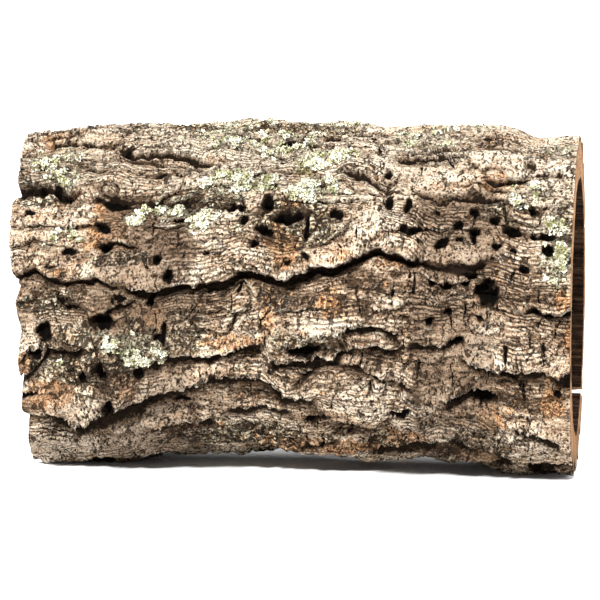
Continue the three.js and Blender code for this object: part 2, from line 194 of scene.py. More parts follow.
# Hollows and swellings: where in the side view, how far they reach along and round, and how high they stand
MOUNDS = {
    "scoop": ((122, 198), 13, 8, -6),
    "pocket": ((287, 238), 12, 9, -6),
    "well": ((322, 358), 11, 5, -6),
    "cave": ((370, 440), 16, 7, -6),
    "right_hole": ((479, 409), 9, 6, -6),
    "crevice": ((154, 325), 4, 14, -4),
    "pebble": ((286, 212), 9, 5, 3.5),
    "cheek": ((92, 272), 14, 6, 3),
    "belly": ((225, 330), 45, 16, 3),
    "hip": ((450, 305), 40, 14, 3),
    "shelf": ((355, 400), 26, 9, 4),
    "right_plate": ((520, 350), 26, 7, 3),
    "shoulder": ((430, 225), 50, 12, 2),
}

# What the tube stands on: x, turn, reach along and round, and height
FEET = [(-110, -81, 24, 11, 7), (-114, -99, 26, 12, 9), (126, -80, 20, 10, 6), (124, -98, 26, 11, 12)]

# Overlapping thin scales everywhere: how far apart, how thick and which random seed
SCALES = [(12.5, 3.4, 20), (5.6, 1.9, 30)]
SCALE_EDGE, SCALE_GROOVE = 0.955, 0.9
SCALE_TONE_SIZE, NEXT_SCALE = 34, 57

# Ragged cavities in the side view: place, half width, half height and depth in millimetres
CAVITIES = [
    ((128, 153), 4, 2.2, 3), ((162, 176), 3, 1, 2.5), ((102, 229), 3.2, 2.8, 5), ((70, 254), 5, 2, 4),
    ((99, 373), 3, 4, 4.5), ((455, 411), 6, 1.8, 4), ((401, 416), 5, 1.3, 3.5), ((353, 147), 2.4, 1.2, 3),
    ((375, 146), 2.4, 1.4, 3), ((267, 212), 2.4, 4.5, 5), ((289, 227), 8, 2.4, 6),
    ((305, 235), 1.2, 4.8, 4.5), ((264, 240), 3.8, 2.4, 6), ((247, 229), 2, 2.4, 4),
    ((306, 264), 3, 1, 3), ((284, 271), 3.4, 0.9, 3), ((338, 224), 3.6, 2.4, 5), ((352, 438), 5, 2.8, 5),
    ((379, 437), 6, 2.8, 5), ((312, 430), 5, 3.4, 5), ((478, 408), 7, 4.4, 6), ((151, 306), 1.4, 5, 4),
    ((163, 340), 1.5, 5, 4), ((455, 347), 3.6, 2, 4), ((300, 359), 9, 2, 5), ((116, 200), 8, 4, 3),
    ((42, 187), 12, 1.6, 4), ((524, 432), 3, 1.8, 4), ((548, 438), 3.6, 2.2, 4), ((30, 208), 3, 1.2, 3),
    ((36, 348), 3, 2, 3), ((118, 300), 4, 1, 3), ((205, 262), 2.4, 1.2, 3), ((392, 214), 1.4, 4, 3),
    ((540, 309), 8, 1.5, 4), ((238, 300), 0.7, 3, 2), ((505, 354), 0.7, 4, 2), ((558, 395), 2.6, 1.2, 3),
    ((181, 416), 4, 1, 3), ((60, 300), 3, 1.2, 3), ((444, 251), 5.2, 2.4, 5), ((511, 231), 4.6, 2.4, 5),
    ((531, 208), 1.8, 3.2, 5), ((408, 214), 1.5, 3.2, 4), ((416, 240), 5, 1.6, 4),
    ((495, 250), 2.6, 2.2, 5), ((522, 268), 2.8, 2.4, 5), ((487, 297), 5.5, 4.4, 6),
    ((447, 291), 4, 2.4, 5), ((469, 279), 5, 1.2, 4), ((475, 244), 1.6, 2.8, 5), ((459, 232), 2.6, 2, 5),
    ((548, 236), 6, 2, 4), ((46, 330), 4, 3.5, 4.5), ((101, 325), 6, 2, 4), ((83, 379), 2.2, 3, 4),
    ((106, 403), 3, 3.4, 5), ((136, 380), 2.6, 3, 4), ((155, 346), 3.2, 1.6, 4), ((70, 308), 5, 1.2, 3),
    ((28, 393), 6, 0.9, 3), ((318, 452), 8, 2.2, 4), ((286, 446), 4, 2, 4), ((372, 456), 7, 1.6, 4),
]

# Round insect holes in the side view
INSECT_HOLES = [
    (437, 221), (474, 219), (477, 236), (494, 226), (404, 236), (430, 289), (464, 290), (472, 279),
    (446, 319), (429, 327), (479, 323), (234, 218), (243, 219), (253, 255), (158, 267), (168, 282),
    (105, 247), (96, 226), (512, 251), (462, 246), (535, 235), (456, 344), (550, 250), (392, 182),
]
HOLE_RADIUS = 1.9
HOLE_DEPTH = 4.5

# Invented holes on the back stand in clusters
BACK_HOLE_COUNT, BACK_HOLE_SIZES = 46, (1.2, 2.2)
CLUSTERS, CLUSTER_X, CLUSTER_TURNS = 5, 130, (110, 205)
CLUSTER_LENGTH, CLUSTER_WIDTH = 18, 11

# Patches of growth and stain in the side view: place, half width and half height in points, and thickness
PATCH_TEAR, PATCH_TEAR_SIZE = 0.55, 9
FLATTEST_PATCH = 0.35
LICHEN_PATCHES = [
    ((62, 160), 42, 22, 0.3), ((70, 184), 14, 9, 1), ((130, 221), 14, 9, 1), ((172, 210), 26, 11, 1),
    ((240, 188), 44, 14, 1), ((318, 196), 32, 14, 1), ((556, 260), 18, 17, 1), ((105, 340), 12, 11, 0.9),
    ((142, 355), 24, 16, 0.9), ((262, 150), 60, 16, 0.55), ((330, 166), 30, 12, 0.6),
    ((530, 196), 26, 12, 0.5), ((200, 232), 22, 12, 0.6), ((52, 362), 22, 9, 0.35),
    ((60, 240), 26, 12, 0.3), ((420, 145), 40, 9, 0.4), ((560, 148), 14, 8, 0.5),
    ((548, 225), 18, 12, 0.5), ((340, 130), 50, 5, 0.5), ((240, 127), 40, 4, 0.5),
    ((470, 137), 40, 5, 0.4),
]
MOSS_PATCHES = [
    ((310, 172), 14, 9, 1), ((256, 196), 10, 7, 0.8), ((215, 184), 9, 6, 0.6), ((558, 252), 9, 8, 0.6),
]
RUST_PATCHES = [
    ((106, 234), 30, 18, 1), ((110, 206), 16, 10, 0.9), ((124, 388), 10, 10, 1), ((48, 390), 26, 12, 1),
    ((282, 250), 16, 22, 1), ((55, 458), 18, 4, 1), ((182, 437), 36, 6, 1), ((424, 447), 32, 7, 1),
    ((562, 298), 10, 9, 1), ((568, 338), 6, 12, 0.9), ((490, 424), 14, 10, 0.9),
    ((552, 400), 12, 18, 0.8), ((26, 360), 9, 12, 0.9), ((232, 352), 34, 7, 0.6),
    ((330, 310), 16, 20, 0.5), ((500, 186), 22, 6, 0.8), ((350, 262), 18, 8, 0.7),
    ((150, 328), 10, 16, 0.6), ((292, 214), 10, 5, 0.8), ((268, 330), 8, 14, 0.6),
    ((96, 318), 16, 9, 0.6), ((470, 312), 16, 6, 0.4), ((60, 140), 20, 6, 0.4), ((395, 268), 22, 6, 0.5),
    ((380, 456), 64, 6, 1), ((300, 452), 40, 6, 0.8), ((120, 456), 60, 5, 0.8), ((480, 462), 50, 6, 0.8),
]
CRUMBLED_PATCHES = [
    ((92, 362), 66, 34, 1), ((48, 302), 36, 16, 0.9), ((182, 342), 26, 22, 0.8),
    ((290, 232), 56, 26, 0.8), ((42, 188), 32, 14, 1), ((562, 236), 20, 34, 0.8),
    ((240, 446), 110, 9, 0.9), ((440, 452), 90, 7, 0.9), ((130, 345), 30, 18, 1),
    ((205, 205), 50, 16, 0.6), ((120, 262), 40, 12, 0.7), ((250, 136), 200, 9, 0.7),
    ((484, 292), 12, 12, 0.9), ((500, 215), 24, 18, 0.6), ((300, 352), 34, 12, 0.6),
    ((480, 440), 40, 12, 0.5),
]
BLEACHED_PATCHES = [
    ((75, 214), 46, 12, 0.8), ((430, 224), 50, 13, 0.8), ((440, 300), 52, 16, 1),
    ((522, 290), 38, 12, 0.8), ((150, 388), 46, 14, 0.7), ((60, 362), 30, 10, 0.7),
    ((190, 432), 92, 18, 1), ((62, 444), 42, 14, 0.8), ((435, 436), 46, 14, 0.8),
    ((250, 190), 46, 10, 0.5),
]
DAMP_PATCHES = [
    ((66, 250), 50, 14, 0.9), ((250, 318), 52, 18, 1.1), ((345, 312), 46, 14, 0.8),
    ((530, 345), 42, 20, 1), ((525, 408), 46, 16, 1.2), ((330, 246), 30, 10, 0.5),
    ((64, 300), 34, 10, 0.4),
]
LINED_PATCHES = [
    ((425, 235), 48, 26, 1), ((60, 428), 32, 14, 1), ((505, 278), 36, 24, 1), ((435, 305), 38, 26, 1),
    ((352, 175), 30, 14, 1), ((240, 170), 22, 11, 0.8), ((405, 428), 12, 9, 1), ((215, 320), 40, 18, 0.7),
    ((520, 352), 40, 10, 0.9), ((350, 400), 44, 12, 0.8), ((220, 400), 60, 10, 0.7),
    ((100, 300), 30, 12, 0.6),
]

# Cracks across the plates: upper and lower end in the side view
CRACKS = [
    ((476, 219), (474, 244)), ((506, 205), (505, 229)), ((424, 295), (425, 310)),
    ((393, 290), (390, 314)), ((409, 272), (406, 293)), ((491, 312), (489, 331)),
    ((498, 298), (500, 322)), ((554, 208), (555, 223)), ((524, 228), (525, 248)),
    ((361, 359), (360, 379)), ((404, 334), (403, 381)), ((286, 349), (287, 367)),
    ((338, 246), (341, 263)), ((354, 232), (352, 251)), ((229, 226), (231, 248)),
    ((243, 210), (242, 230)), ((381, 146), (383, 163)), ((72, 411), (73, 431)), ((80, 413), (80, 425)),
    ((100, 412), (103, 443)), ((146, 396), (144, 420)), ((192, 311), (190, 323)),
    ((150, 308), (154, 352)), ((316, 238), (318, 251)), ((262, 340), (266, 364)),
    ((558, 318), (556, 342)), ((532, 330), (531, 352)), ((449, 365), (451, 392)),
    ((206, 392), (204, 412)), ((172, 402), (174, 422)), ((250, 392), (247, 414)),
    ((335, 398), (330, 418)), ((420, 366), (417, 392)), ((520, 385), (523, 408)),
    ((545, 340), (543, 362)), ((560, 262), (556, 296)), ((26, 208), (18, 216)), ((33, 230), (27, 256)),
    ((60, 262), (44, 263)), ((180, 232), (178, 252)), ((140, 262), (150, 282)), ((268, 300), (266, 322)),
    ((228, 300), (230, 316)), ((352, 292), (358, 322)), ((376, 284), (372, 300)),
    ((512, 268), (510, 284)), ((536, 290), (538, 306)), ((120, 150), (124, 162)),
    ((300, 160), (303, 176)), ((420, 168), (424, 186)), ((470, 168), (466, 182)),
    ((545, 150), (548, 170)),
]
CRACK_REACH = 4
CRACK_HALF, CRACK_BITE = 0.9, 1.5
LOOSE_CRACKS, LONGEST_CRACK = 150, 16
SHORTEST_SHARE, CRACK_LEAN = 0.3, 0.25

# The back has furrows of the same kind, spread by the golden ratio so that none line up
GOLDEN_RATIO = (math.sqrt(5) - 1) / 2
BACK_COUNT = 30
BACK_FIRST, BACK_LAST = 92, 300
BACK_SHORTEST, BACK_LONGEST = 80, 200
BACK_SWAY = 3.5
BACK_STEPS = 12
UNDER_FLOOR = 245

# The least lip, drop and reach of these furrows, and how much more they may have
BACK_LIP, BACK_DROP, BACK_REACH = (2, 1), (5.5, 3), (7, 4)

# How far apart the growth lines are
GROWTH_SPACING = 1.9

# What covers the bark: the patches of the side view and a random seed, then what is invented where it
# doesn't show, by seed, size, and the noise where it starts and where it is full
COVERS = {
    "crumbled": (CRUMBLED_PATCHES, 46, 47, 32, -0.05, 0.35),
    "rust": (RUST_PATCHES, 73, 74, 26, 0.12, 0.5),
    "lichen": (LICHEN_PATCHES, 75, 76, 30, 0.12, 0.5),
    "moss": (MOSS_PATCHES, 77, 78, 18, 0.4, 0.75),
}
HIDDEN_BELOW, HIDDEN_ABOVE = (-95, -75), (90, 112)

# How finely the bark is divided
ALONG_CELLS = 266
ROUND_CELLS = 340
BORE_ALONG_CELLS = 64
BORE_ROUND_CELLS = 72
SIDE_STRETCHES = 6
TURN_SAMPLES = 900
SHOWN_LOWEST, SHOWN_HIGHEST = -92, 100
SHOWN_NEED, HIDDEN_NEED = 1.7, 0.95
STEEPNESS, STEEPEST = 1.1, 3
BLUR_ALONG, BLUR_ROUND = 5, 5
BORE_FINISH, RIM_FINISH = 1, 2

# Added to each place that noise is taken at, to keep it above zero
FAR_OFF = 500
BORE_GRAIN_RADIUS, BORE_GRAIN_SIZE, BORE_GRAIN_HEIGHT = 60, 7, 0.8


def millimetres_round(turn):
    return np.radians(turn) * GIRTH_RADIUS


def eased(value, low, high):
    """0 below low, 1 above high and a soft step between them."""
    part = np.clip((value - low) / (high - low), 0, 1)
    return part * part * (3 - 2 * part)


# Places read from the side view

TO_VIEWER = np.array([
    math.sin(VIEW_YAW) * math.cos(VIEW_PITCH),
    -math.cos(VIEW_YAW) * math.cos(VIEW_PITCH),
    math.sin(VIEW_PITCH),
])
RIGHTWARD = np.array([math.cos(VIEW_YAW), math.sin(VIEW_YAW), 0])
UPWARD = np.cross(TO_VIEWER, RIGHTWARD)
EYE = np.array([0, 0, VIEW_HEIGHT]) + VIEW_DISTANCE * TO_VIEWER


def on_bark(seen):
    """The x and the turn of points of the side view, on the near side of the tube."""
    seen = np.array(seen, float)
    rays = -VIEW_FOCAL * TO_VIEWER
    rays = rays + np.outer(seen[:, 0] - VIEW_MIDDLE, RIGHTWARD) + np.outer(VIEW_MIDDLE - seen[:, 1], UPWARD)
    start = np.array([EYE[1] / OUTSIDE_DEPTH, (EYE[2] - AXIS_HEIGHT) / OUTSIDE_HEIGHT])
    step = rays[:, 1:] / (OUTSIDE_DEPTH, OUTSIDE_HEIGHT)
    a = (step * step).sum(1)
    b = step @ start
    c = start @ start - 1
    distance = (-b - np.sqrt(np.maximum(b * b - a * c, 0))) / a
    hit = start + step * distance[:, None]
    return EYE[0] + rays[:, 0] * distance, np.degrees(np.arctan2(hit[:, 1], -hit[:, 0]))


def spot_on_bark(seen):
    """The x of one point of the side view, and its distance round."""
    (x,), (turn,) = on_bark([seen])
    return x, millimetres_round(turn)


def seen_furrow(line, lip, drop, reach, softness=LIP_SOFTNESS, downhill=1):
    x, turn = on_bark(line)
    return x, millimetres_round(turn), lip, drop, reach, softness, downhill


def back_furrow(index):
    spot = index * GOLDEN_RATIO % 1
    turn = BACK_FIRST + (BACK_LAST - BACK_FIRST) * (index + 0.5) / BACK_COUNT
    half = (BACK_SHORTEST + (BACK_LONGEST - BACK_SHORTEST) * (index * GOLDEN_RATIO * 3 % 1)) / 2
    start = RIGHT_CUT * (2 * spot - 1) - half
    x = start + 2 * half * np.arange(BACK_STEPS + 1) / BACK_STEPS
    waves = np.sin(x / 21 + index * 2.4) + 0.7 * np.sin(x / 9.5 + index * 1.3)
    around = millimetres_round(turn - 360 if turn > SLIT_UPPER else turn) + BACK_SWAY * waves
    lip = BACK_LIP[0] + BACK_LIP[1] * spot
    drop = BACK_DROP[0] + BACK_DROP[1] * (0.37 * index % 1)
    reach = BACK_REACH[0] + BACK_REACH[1] * spot
    downhill = -1 if turn < UNDER_FLOOR else 1
    return x, around, lip, drop, reach, BACK_SOFTNESS, downhill


def seen_crack(upper, lower):
    x, turn = on_bark([upper, lower])
    return x, millimetres_round(turn)


def loose_cracks():
    """Short cracks anywhere, mostly across the tube's length."""
    chance = np.random.default_rng(5)
    for _ in range(LOOSE_CRACKS):
        x = chance.uniform(-RIGHT_CUT, RIGHT_CUT)
        around = millimetres_round(chance.uniform(SLIT_LOWER, SLIT_UPPER))
        length = chance.uniform(SHORTEST_SHARE, 1) * LONGEST_CRACK
        yield np.array([x, x + chance.normal(0, CRACK_LEAN) * length]), np.array([around, around - length])


SHOWN_FURROWS = [seen_furrow(*furrow) for furrow in FURROWS.values()]
BACK_FURROWS = [back_furrow(index) for index in range(BACK_COUNT)]
ALL_LEDGES = [seen_furrow(*ledge) for ledge in THIN_LEDGES.values()]
ALL_LEDGES += [seen_furrow(*ledge, downhill=-1) for ledge in UPTURNED_LEDGES.values()]
ALL_CRACKS = [seen_crack(*crack) for crack in CRACKS] + list(loose_cracks())


# Steady noise: the same numbers at the same places on every run

def random_at(corner, seed):
    """A number from 0 to 1 for each whole-number corner."""
    mixed = corner[0] * 73856093 ^ corner[1] * 19349663 ^ corner[2] * 83492791 ^ seed * 15485863
    mixed = (mixed ^ mixed >> 13) * 1274126177 & 0x7FFFFFFF
    mixed = (mixed ^ mixed >> 15) * 461845907 & 0x7FFFFFFF
    return (mixed ^ mixed >> 16) % 65536 / 65535


def noise(place, size, seed, stretch=1):
    """Smooth noise from -1 to 1 with bumps of that size, drawn out along the tube by stretch."""
    scaled = [place[0] / (size * stretch), place[1] / size, place[2] / size]
    low = [np.floor(part).astype(np.int64) for part in scaled]
    part = [value - floor for value, floor in zip(scaled, low)]
    part = [value * value * value * (value * (value * 6 - 15) + 10) for value in part]
    total = 0
    for step in range(8):
        up = (step & 1, step >> 1 & 1, step >> 2)
        share = 1
        for value, risen in zip(part, up):
            share = share * (value if risen else 1 - value)
        total = total + share * random_at([floor + risen for floor, risen in zip(low, up)], seed)
    return 2 * total - 1


def rough(place, size, seed, octaves=3, stretch=1):
    """Noise with finer and weaker noise on it."""
    total = sum(noise(place, size / 2 ** i, seed + i, stretch) / 2 ** i for i in range(octaves))
    return total / (2 - 2 ** (1 - octaves))


# The relief of the bark

def waves_of(x, angle, waves):
    """The sum of some waves that run along and round the tube."""
    return sum(height * np.sin(x / length + count * angle + phase) for height, length, count, phase in waves)


def add_furrow(bark, furrow, hang):
    """Cuts one furrow into the bark and lets the plate above it hang over."""
    line_x, line_round, lip, drop, reach, softness, downhill = furrow
    near = (bark["ragged_x"] > line_x[0] - FADE_OUT) & (bark["ragged_x"] < line_x[-1] + FADE_OUT)
    x, around = bark["ragged_x"][near], bark["ragged_round"][near]
    strength = eased(x, line_x[0] - FADE_OUT, line_x[0] + FADE_IN)
    strength = strength * (1 - eased(x, line_x[-1] - FADE_IN, line_x[-1] + FADE_OUT))
    height = np.interp(x, line_x, line_round)
    below = (height - around) * downhill
    under = eased(below, -softness, softness)
    distance = np.abs(below)
    raised = lip * np.exp(-distance / LIP_REACH) * (1 - under)
    sunk = drop * np.exp(-distance / reach) * under
    size = lip + drop
    downward = np.clip(VIEW_PITCH - height / GIRTH_RADIUS, 0, HIDDEN_ANGLE)
    gap = size * (GAP_SHARE + UNDERCUT_SHARE * np.tan(downward))
    cave = under * (1 - eased(below, GAP_FADE[0] * gap, GAP_FADE[1] * gap))
    overhang = hang * size * np.exp(-((below / HANG_REACH) ** 2)) * (1 - under)
    thin = 1 - eased(softness, *ROUND_LIPS)
    brow = 1 - eased(-below, BROW_SHADE_FADE[0] * softness, BROW_SHADE_FADE[1] * softness)
    edge = thin * (1 - under) * np.exp(-distance / HIGHLIGHT_REACH) * eased(size, *HIGHLIGHTED_SIZES)
    weight = strength * size * np.exp(-((below / FOLLOW_REACH) ** 2))
    bark["height"][near] += strength * (raised - sunk - CAVE_DEPTH * drop * cave)
    bark["hang"][near] += downhill * strength * overhang
    # Painted shade fills the gap under the lip, where a shallow cave is also dug
    bark["hollow"][near] += strength * cave * eased(drop, *SHADED_DROPS)
    # A painted highlight along the thin lips
    bark["edge"][near] += strength * edge
    # Painted shade round the round lips that turn under
    bark["brow"][near] += strength * (1 - thin) * brow
    bark["pull"][near] += weight * (height - line_round.mean())
    bark["pulled"][near] += weight


def add_scales(bark, spacing, highest, seed):
    """Thin overlapping layers that follow the furrows, each with a broken lower edge."""
    place, side = bark["place"], bark["side"]
    wander = 0.9 * noise(place, spacing * 1.3, seed, 3.2)
    phase = bark["down"] / spacing + wander + 0.3 * noise(place, spacing / 2, seed + 1, 1.6)
    part = phase % 1
    there = eased(noise(place, spacing * 1.5, seed + 2, 2.2), -0.4, 0.35) * bark["sided"]
    rise = part ** 1.4 * (1 - eased(part, SCALE_EDGE, 1))
    groove = np.exp(-part * spacing / SCALE_GROOVE)
    moved = [place[0], place[1] + NEXT_SCALE * np.floor(phase), place[2]]
    bark["tint"] += there * noise(moved, SCALE_TONE_SIZE, seed + 3, 1.6)
    bark["height"] += highest * there * (rise - 0.4 - 0.5 * groove)
    bark["hang"] += side * there * highest * 0.5 * eased(part, 0.6, 0.95) * (1 - eased(part, 0.95, 1))
    # Painted shade in the groove under each scale, and a painted highlight along its lower edge
    bark["hollow"] += 0.8 * there * groove
    bark["edge"] += 0.6 * there * eased(part, 0.78, 0.93) * (1 - eased(part, 0.94, 1))


def add_cracks(bark):
    """Opens the cracks, and keeps how far each place is from the nearest one."""
    nearest = np.full_like(bark["x"], CRACK_REACH)
    for line_x, line_round in ALL_CRACKS:
        middle, half = line_round.mean(), abs(line_round[0] - line_round[1]) / 2 + CRACK_REACH
        near = np.abs(bark["x"] - line_x.mean()) < CRACK_REACH + abs(line_x[0] - line_x[1])
        near &= np.abs(bark["round"] - middle) < half + 2
        x, around = bark["ragged_x"][near] - line_x[0], bark["ragged_round"][near] - line_round[0]
        run, rise = line_x[1] - line_x[0], line_round[1] - line_round[0]
        part = (x * run + around * rise) / (run * run + rise * rise)
        inside = np.clip(part, 0, 1)
        away = np.hypot(x - inside * run, around - inside * rise) + 0.5 * np.abs(2 * inside - 1) ** 3
        nearest[near] = np.minimum(nearest[near], away)
    bark["crack"] = nearest
    bark["height"] -= CRACK_BITE * np.exp(-((nearest / CRACK_HALF) ** 2))


def add_mound(bark, x, around, along, girth, height):
    """Raises a soft mound, or sinks it where the height is negative."""
    away = ((bark["x"] - x) / along) ** 2 + ((bark["round"] - around) / girth) ** 2
    bark["height"] += height * np.exp(-away)


def add_cavity(bark, x, around, half_x, half_round, depth):
    """Digs one ragged cavity and paints shade in it, near-black in its middle."""
    near = (np.abs(bark["x"] - x) < 2 * half_x + 2) & (np.abs(bark["round"] - around) < 2 * half_round + 2)
    across = (bark["ragged_x"][near] - x) / half_x
    up = (bark["ragged_round"][near] - around) / half_round
    away = np.sqrt(across * across + up * up)
    away += 0.28 * noise([axis[near] for axis in bark["place"]], 2.8, 50)
    bark["height"][near] -= depth * (1 - eased(away, 0.55, 1.15))
    bark["hollow"][near] += 0.8 * (1 - eased(away, 0.8, 1.5))
    bark["hole_shade"][near] = np.maximum(bark["hole_shade"][near], 1 - eased(away, 0.65, 1.1))


def patched(bark, patches, seed):
    """How strongly each place is covered by patches with torn edges."""
    cover = np.zeros_like(bark["x"])
    torn = PATCH_TEAR * rough(bark["place"], PATCH_TEAR_SIZE, seed)
    for seen, wide, high, thick in patches:
        (x,), (turn,) = on_bark([seen])
        foreshortened = max(math.cos(math.radians(turn) - VIEW_PITCH), FLATTEST_PATCH)
        across = (bark["x"] - x) / (wide * POINT_SIZE)
        up = (bark["round"] - millimetres_round(turn)) / (high * POINT_SIZE / foreshortened)
        away = np.sqrt(across * across + up * up) + torn
        cover = np.maximum(cover, thick * (1 - eased(away, 0.5, 1.25)))
    return cover


def covered(bark, patches, seed, hidden_seed, size, low, high):
    """How strongly each place is covered, by placed patches where it shows and by invented ones elsewhere."""
    shown = eased(bark["turn"], *HIDDEN_BELOW) * (1 - eased(bark["turn"], *HIDDEN_ABOVE))
    invented = eased(rough(bark["place"], size, hidden_seed), low, high) * (1 - shown)
    return np.maximum(patched(bark, patches, seed), invented)


def noise_place(x, angle, radius):
    return [x + FAR_OFF, radius * np.cos(angle) + FAR_OFF, radius * np.sin(angle) + FAR_OFF]


def start_bark(x, turn):
    """The places of the bark and the blank tables that furrows, scales and holes are written in."""
    around = millimetres_round(turn)
    place = noise_place(x, np.radians(turn), GIRTH_RADIUS)
    blank_names = ("hang", "hollow", "edge", "pull", "pulled", "hole_shade", "tint", "brow")
    blank = {name: np.zeros_like(x) for name in blank_names}
    fine = eased(turn, SHOWN_LOWEST - 12, SHOWN_LOWEST)
    fine = fine * (1 - eased(turn, SHOWN_HIGHEST - 6, SHOWN_HIGHEST + 8))
    ragged_x = x + 1.8 * noise(place, 12, 1) + 1.1 * noise(place, 4.5, 2)
    ragged_round = around + 1.4 * noise(place, 10, 3)
    ragged_round += (0.3 + 0.8 * fine) * noise(place, 4, 4) + 0.5 * fine * noise(place, 2, 5)
    return dict(
        blank, x=x, turn=turn, round=around, place=place, ragged_x=ragged_x, ragged_round=ragged_round,
        height=waves_of(x, np.radians(turn), SWELL), fine=fine,
        side=np.where((turn > BACK_FIRST) & (turn < UNDER_FLOOR), -1.0, 1.0),
        sided=eased(np.abs(turn - BACK_FIRST), 1, 7),
    )


def random_holes():
    """Insect holes on the sides that the side view doesn't show."""
    chance = np.random.default_rng(7)
    middles = [
        (chance.uniform(-CLUSTER_X, CLUSTER_X), chance.uniform(*CLUSTER_TURNS)) for _ in range(CLUSTERS)
    ]
    for _ in range(BACK_HOLE_COUNT):
        x, turn = middles[chance.integers(len(middles))]
        hole_x = x + chance.normal(0, CLUSTER_LENGTH)
        around = millimetres_round(turn + chance.normal(0, CLUSTER_WIDTH))
        yield hole_x, around, chance.uniform(*BACK_HOLE_SIZES)


def crumble(bark):
    """Rough ground everywhere, and rougher where the bark crumbles."""
    place, fine = bark["place"], bark["fine"]
    crumbled = bark["crumbled"] = covered(bark, *COVERS["crumbled"])
    lumps = (0.7 + 0.8 * crumbled) * noise(place, 8, 40)
    bark["height"] += lumps + (0.3 + 1.3 * crumbled) * noise(place, 4.4, 43)
    bark["height"] += (0.15 + 0.35 * fine) * (1 + crumbled) * noise(place, 2.8, 44)
    bark["height"] += fine * (0.3 + 0.4 * crumbled) * noise(place, 1.5, 45)


def relief(x, turn):
    """Everything that the bark's skin does at each x and turn."""
    bark = start_bark(x, turn)
    for furrow in SHOWN_FURROWS:
        add_furrow(bark, furrow, SHOWN_HANG)
    for furrow in BACK_FURROWS:
        add_furrow(bark, furrow, BACK_HANG)
    for seen, along, girth, height in MOUNDS.values():
        add_mound(bark, *spot_on_bark(seen), along, girth, height)
    for foot_x, foot_turn, along, girth, height in FEET:
        add_mound(bark, foot_x, millimetres_round(foot_turn), along, girth, height)
    limit = np.where(bark["height"] > 0, HIGHEST_RELIEF, DEEPEST_RELIEF)
    bark["height"] = limit * np.tanh(bark["height"] / limit)
    bark["calm"] = bark["height"].copy()
    for ledge in ALL_LEDGES:
        add_furrow(bark, ledge, LEDGE_HANG)
    bark["follow"] = bark["pull"] / (bark["pulled"] + 2)
    bark["down"] = bark["side"] * (bark["follow"] - bark["round"])
    for spacing, highest, seed in SCALES:
        add_scales(bark, spacing, highest, seed)
    for seen, half_x, half_round, depth in CAVITIES:
        add_cavity(bark, *spot_on_bark(seen), half_x, half_round, depth)
    for seen in INSECT_HOLES:
        size = HOLE_RADIUS * (0.75 + 0.5 * (seen[0] * GOLDEN_RATIO % 1))
        add_cavity(bark, *spot_on_bark(seen), size, size, HOLE_DEPTH)
    for hole_x, around, size in random_holes():
        add_cavity(bark, hole_x, around, size, size, HOLE_DEPTH)
    add_cracks(bark)
    crumble(bark)
    bark["hang"] *= eased(RIGHT_CUT - x, 0, 8)
    return bark


# The tube's section and ends

def left_cut(turn):
    """The x of the left end at each turn."""
    x, rim_turn = on_bark(LEFT_RIM)
    seen = np.interp(-turn, -rim_turn, x)
    hidden = LEFT_BACK + LEFT_BACK_SWAY * np.sin(np.radians(turn) * 4)
    shown = eased(turn, -100, -80) * (1 - eased(turn, 80, 100))
    crack = CRACK_DEPTH * np.exp(-(((turn - CRACK_TURN) / CRACK_WIDTH) ** 2))
    return hidden + (seen - hidden) * shown + crack


def section_at(x):
    """The middle of the section at each x, and how much taller or lower than the usual it is."""
    top = np.interp(x, *zip(*CROWN_LINE))
    bottom = np.interp(x, *zip(*UNDERSIDE_LINE))
    return (top + bottom) / 2, (top - bottom) / 2 - PLATE_RISE - OUTSIDE_HEIGHT


def lips_at(x):
    sway = SWAY_TURN * np.sin(x / SWAY_WAVELENGTH + SWAY_PHASE)
    return SLIT_LOWER + sway, SLIT_UPPER + sway


def blurred(table, reach, axis):
    """The mean of the numbers round each place, along one axis."""
    width = 2 * reach + 1
    padding = [(0, 0), (0, 0)]
    padding[axis] = (reach, reach)
    padded = np.pad(table, padding, mode="edge")
    return np.apply_along_axis(lambda line: np.convolve(line, np.ones(width) / width, "valid"), axis, padded)


def crowded_turns():
    """The turns of every row and column of the bark: rows crowd towards steep relief and the shown side."""
    x = np.linspace(-RIGHT_CUT, RIGHT_CUT, ALONG_CELLS + 1)
    lower, upper = lips_at(x)
    share = np.linspace(0, 1, TURN_SAMPLES + 1)[:, None]
    turns = lower + (upper - lower) * share
    height = relief(np.broadcast_to(x, turns.shape).ravel(), turns.ravel())["height"].reshape(turns.shape)
    steep = np.abs(np.diff(height, axis=0)) / millimetres_round((upper - lower) / TURN_SAMPLES)
    between = (turns[1:] + turns[:-1]) / 2
    shown = (between > SHOWN_LOWEST) & (between < SHOWN_HIGHEST)
    needs = np.where(shown, SHOWN_NEED, HIDDEN_NEED) * (1 + STEEPNESS * np.minimum(steep, STEEPEST))
    needs = blurred(blurred(needs, BLUR_ROUND, 0), BLUR_ALONG, 1)
    totals = np.vstack([np.zeros(len(x)), np.cumsum(needs, axis=0)])
    wanted = np.linspace(0, 1, ROUND_CELLS + 1)
    columns = [np.interp(wanted * totals[-1, i], totals[:, i], turns[:, i]) for i in range(len(x))]
    return np.array(columns).T


def between_cuts(turns, shares):
    """The x at each turn for a share of the way from the left end to the right."""
    return left_cut(turns) + (RIGHT_CUT - left_cut(turns)) * shares


def outer_points(turns, shares):
    """The outer face's corners, and what its skin does there."""
    x = between_cuts(turns, shares)
    bark = relief(x, turns)
    middle, taller = section_at(x)
    turn = turns - np.degrees(bark["hang"] / GIRTH_RADIUS)
    angle = np.radians(turn)
    y = -(OUTSIDE_DEPTH + bark["height"]) * np.cos(angle)
    z = middle + (OUTSIDE_HEIGHT + taller + bark["height"]) * np.sin(angle)
    return np.stack([x, y, np.maximum(z, 0)], 1), bark


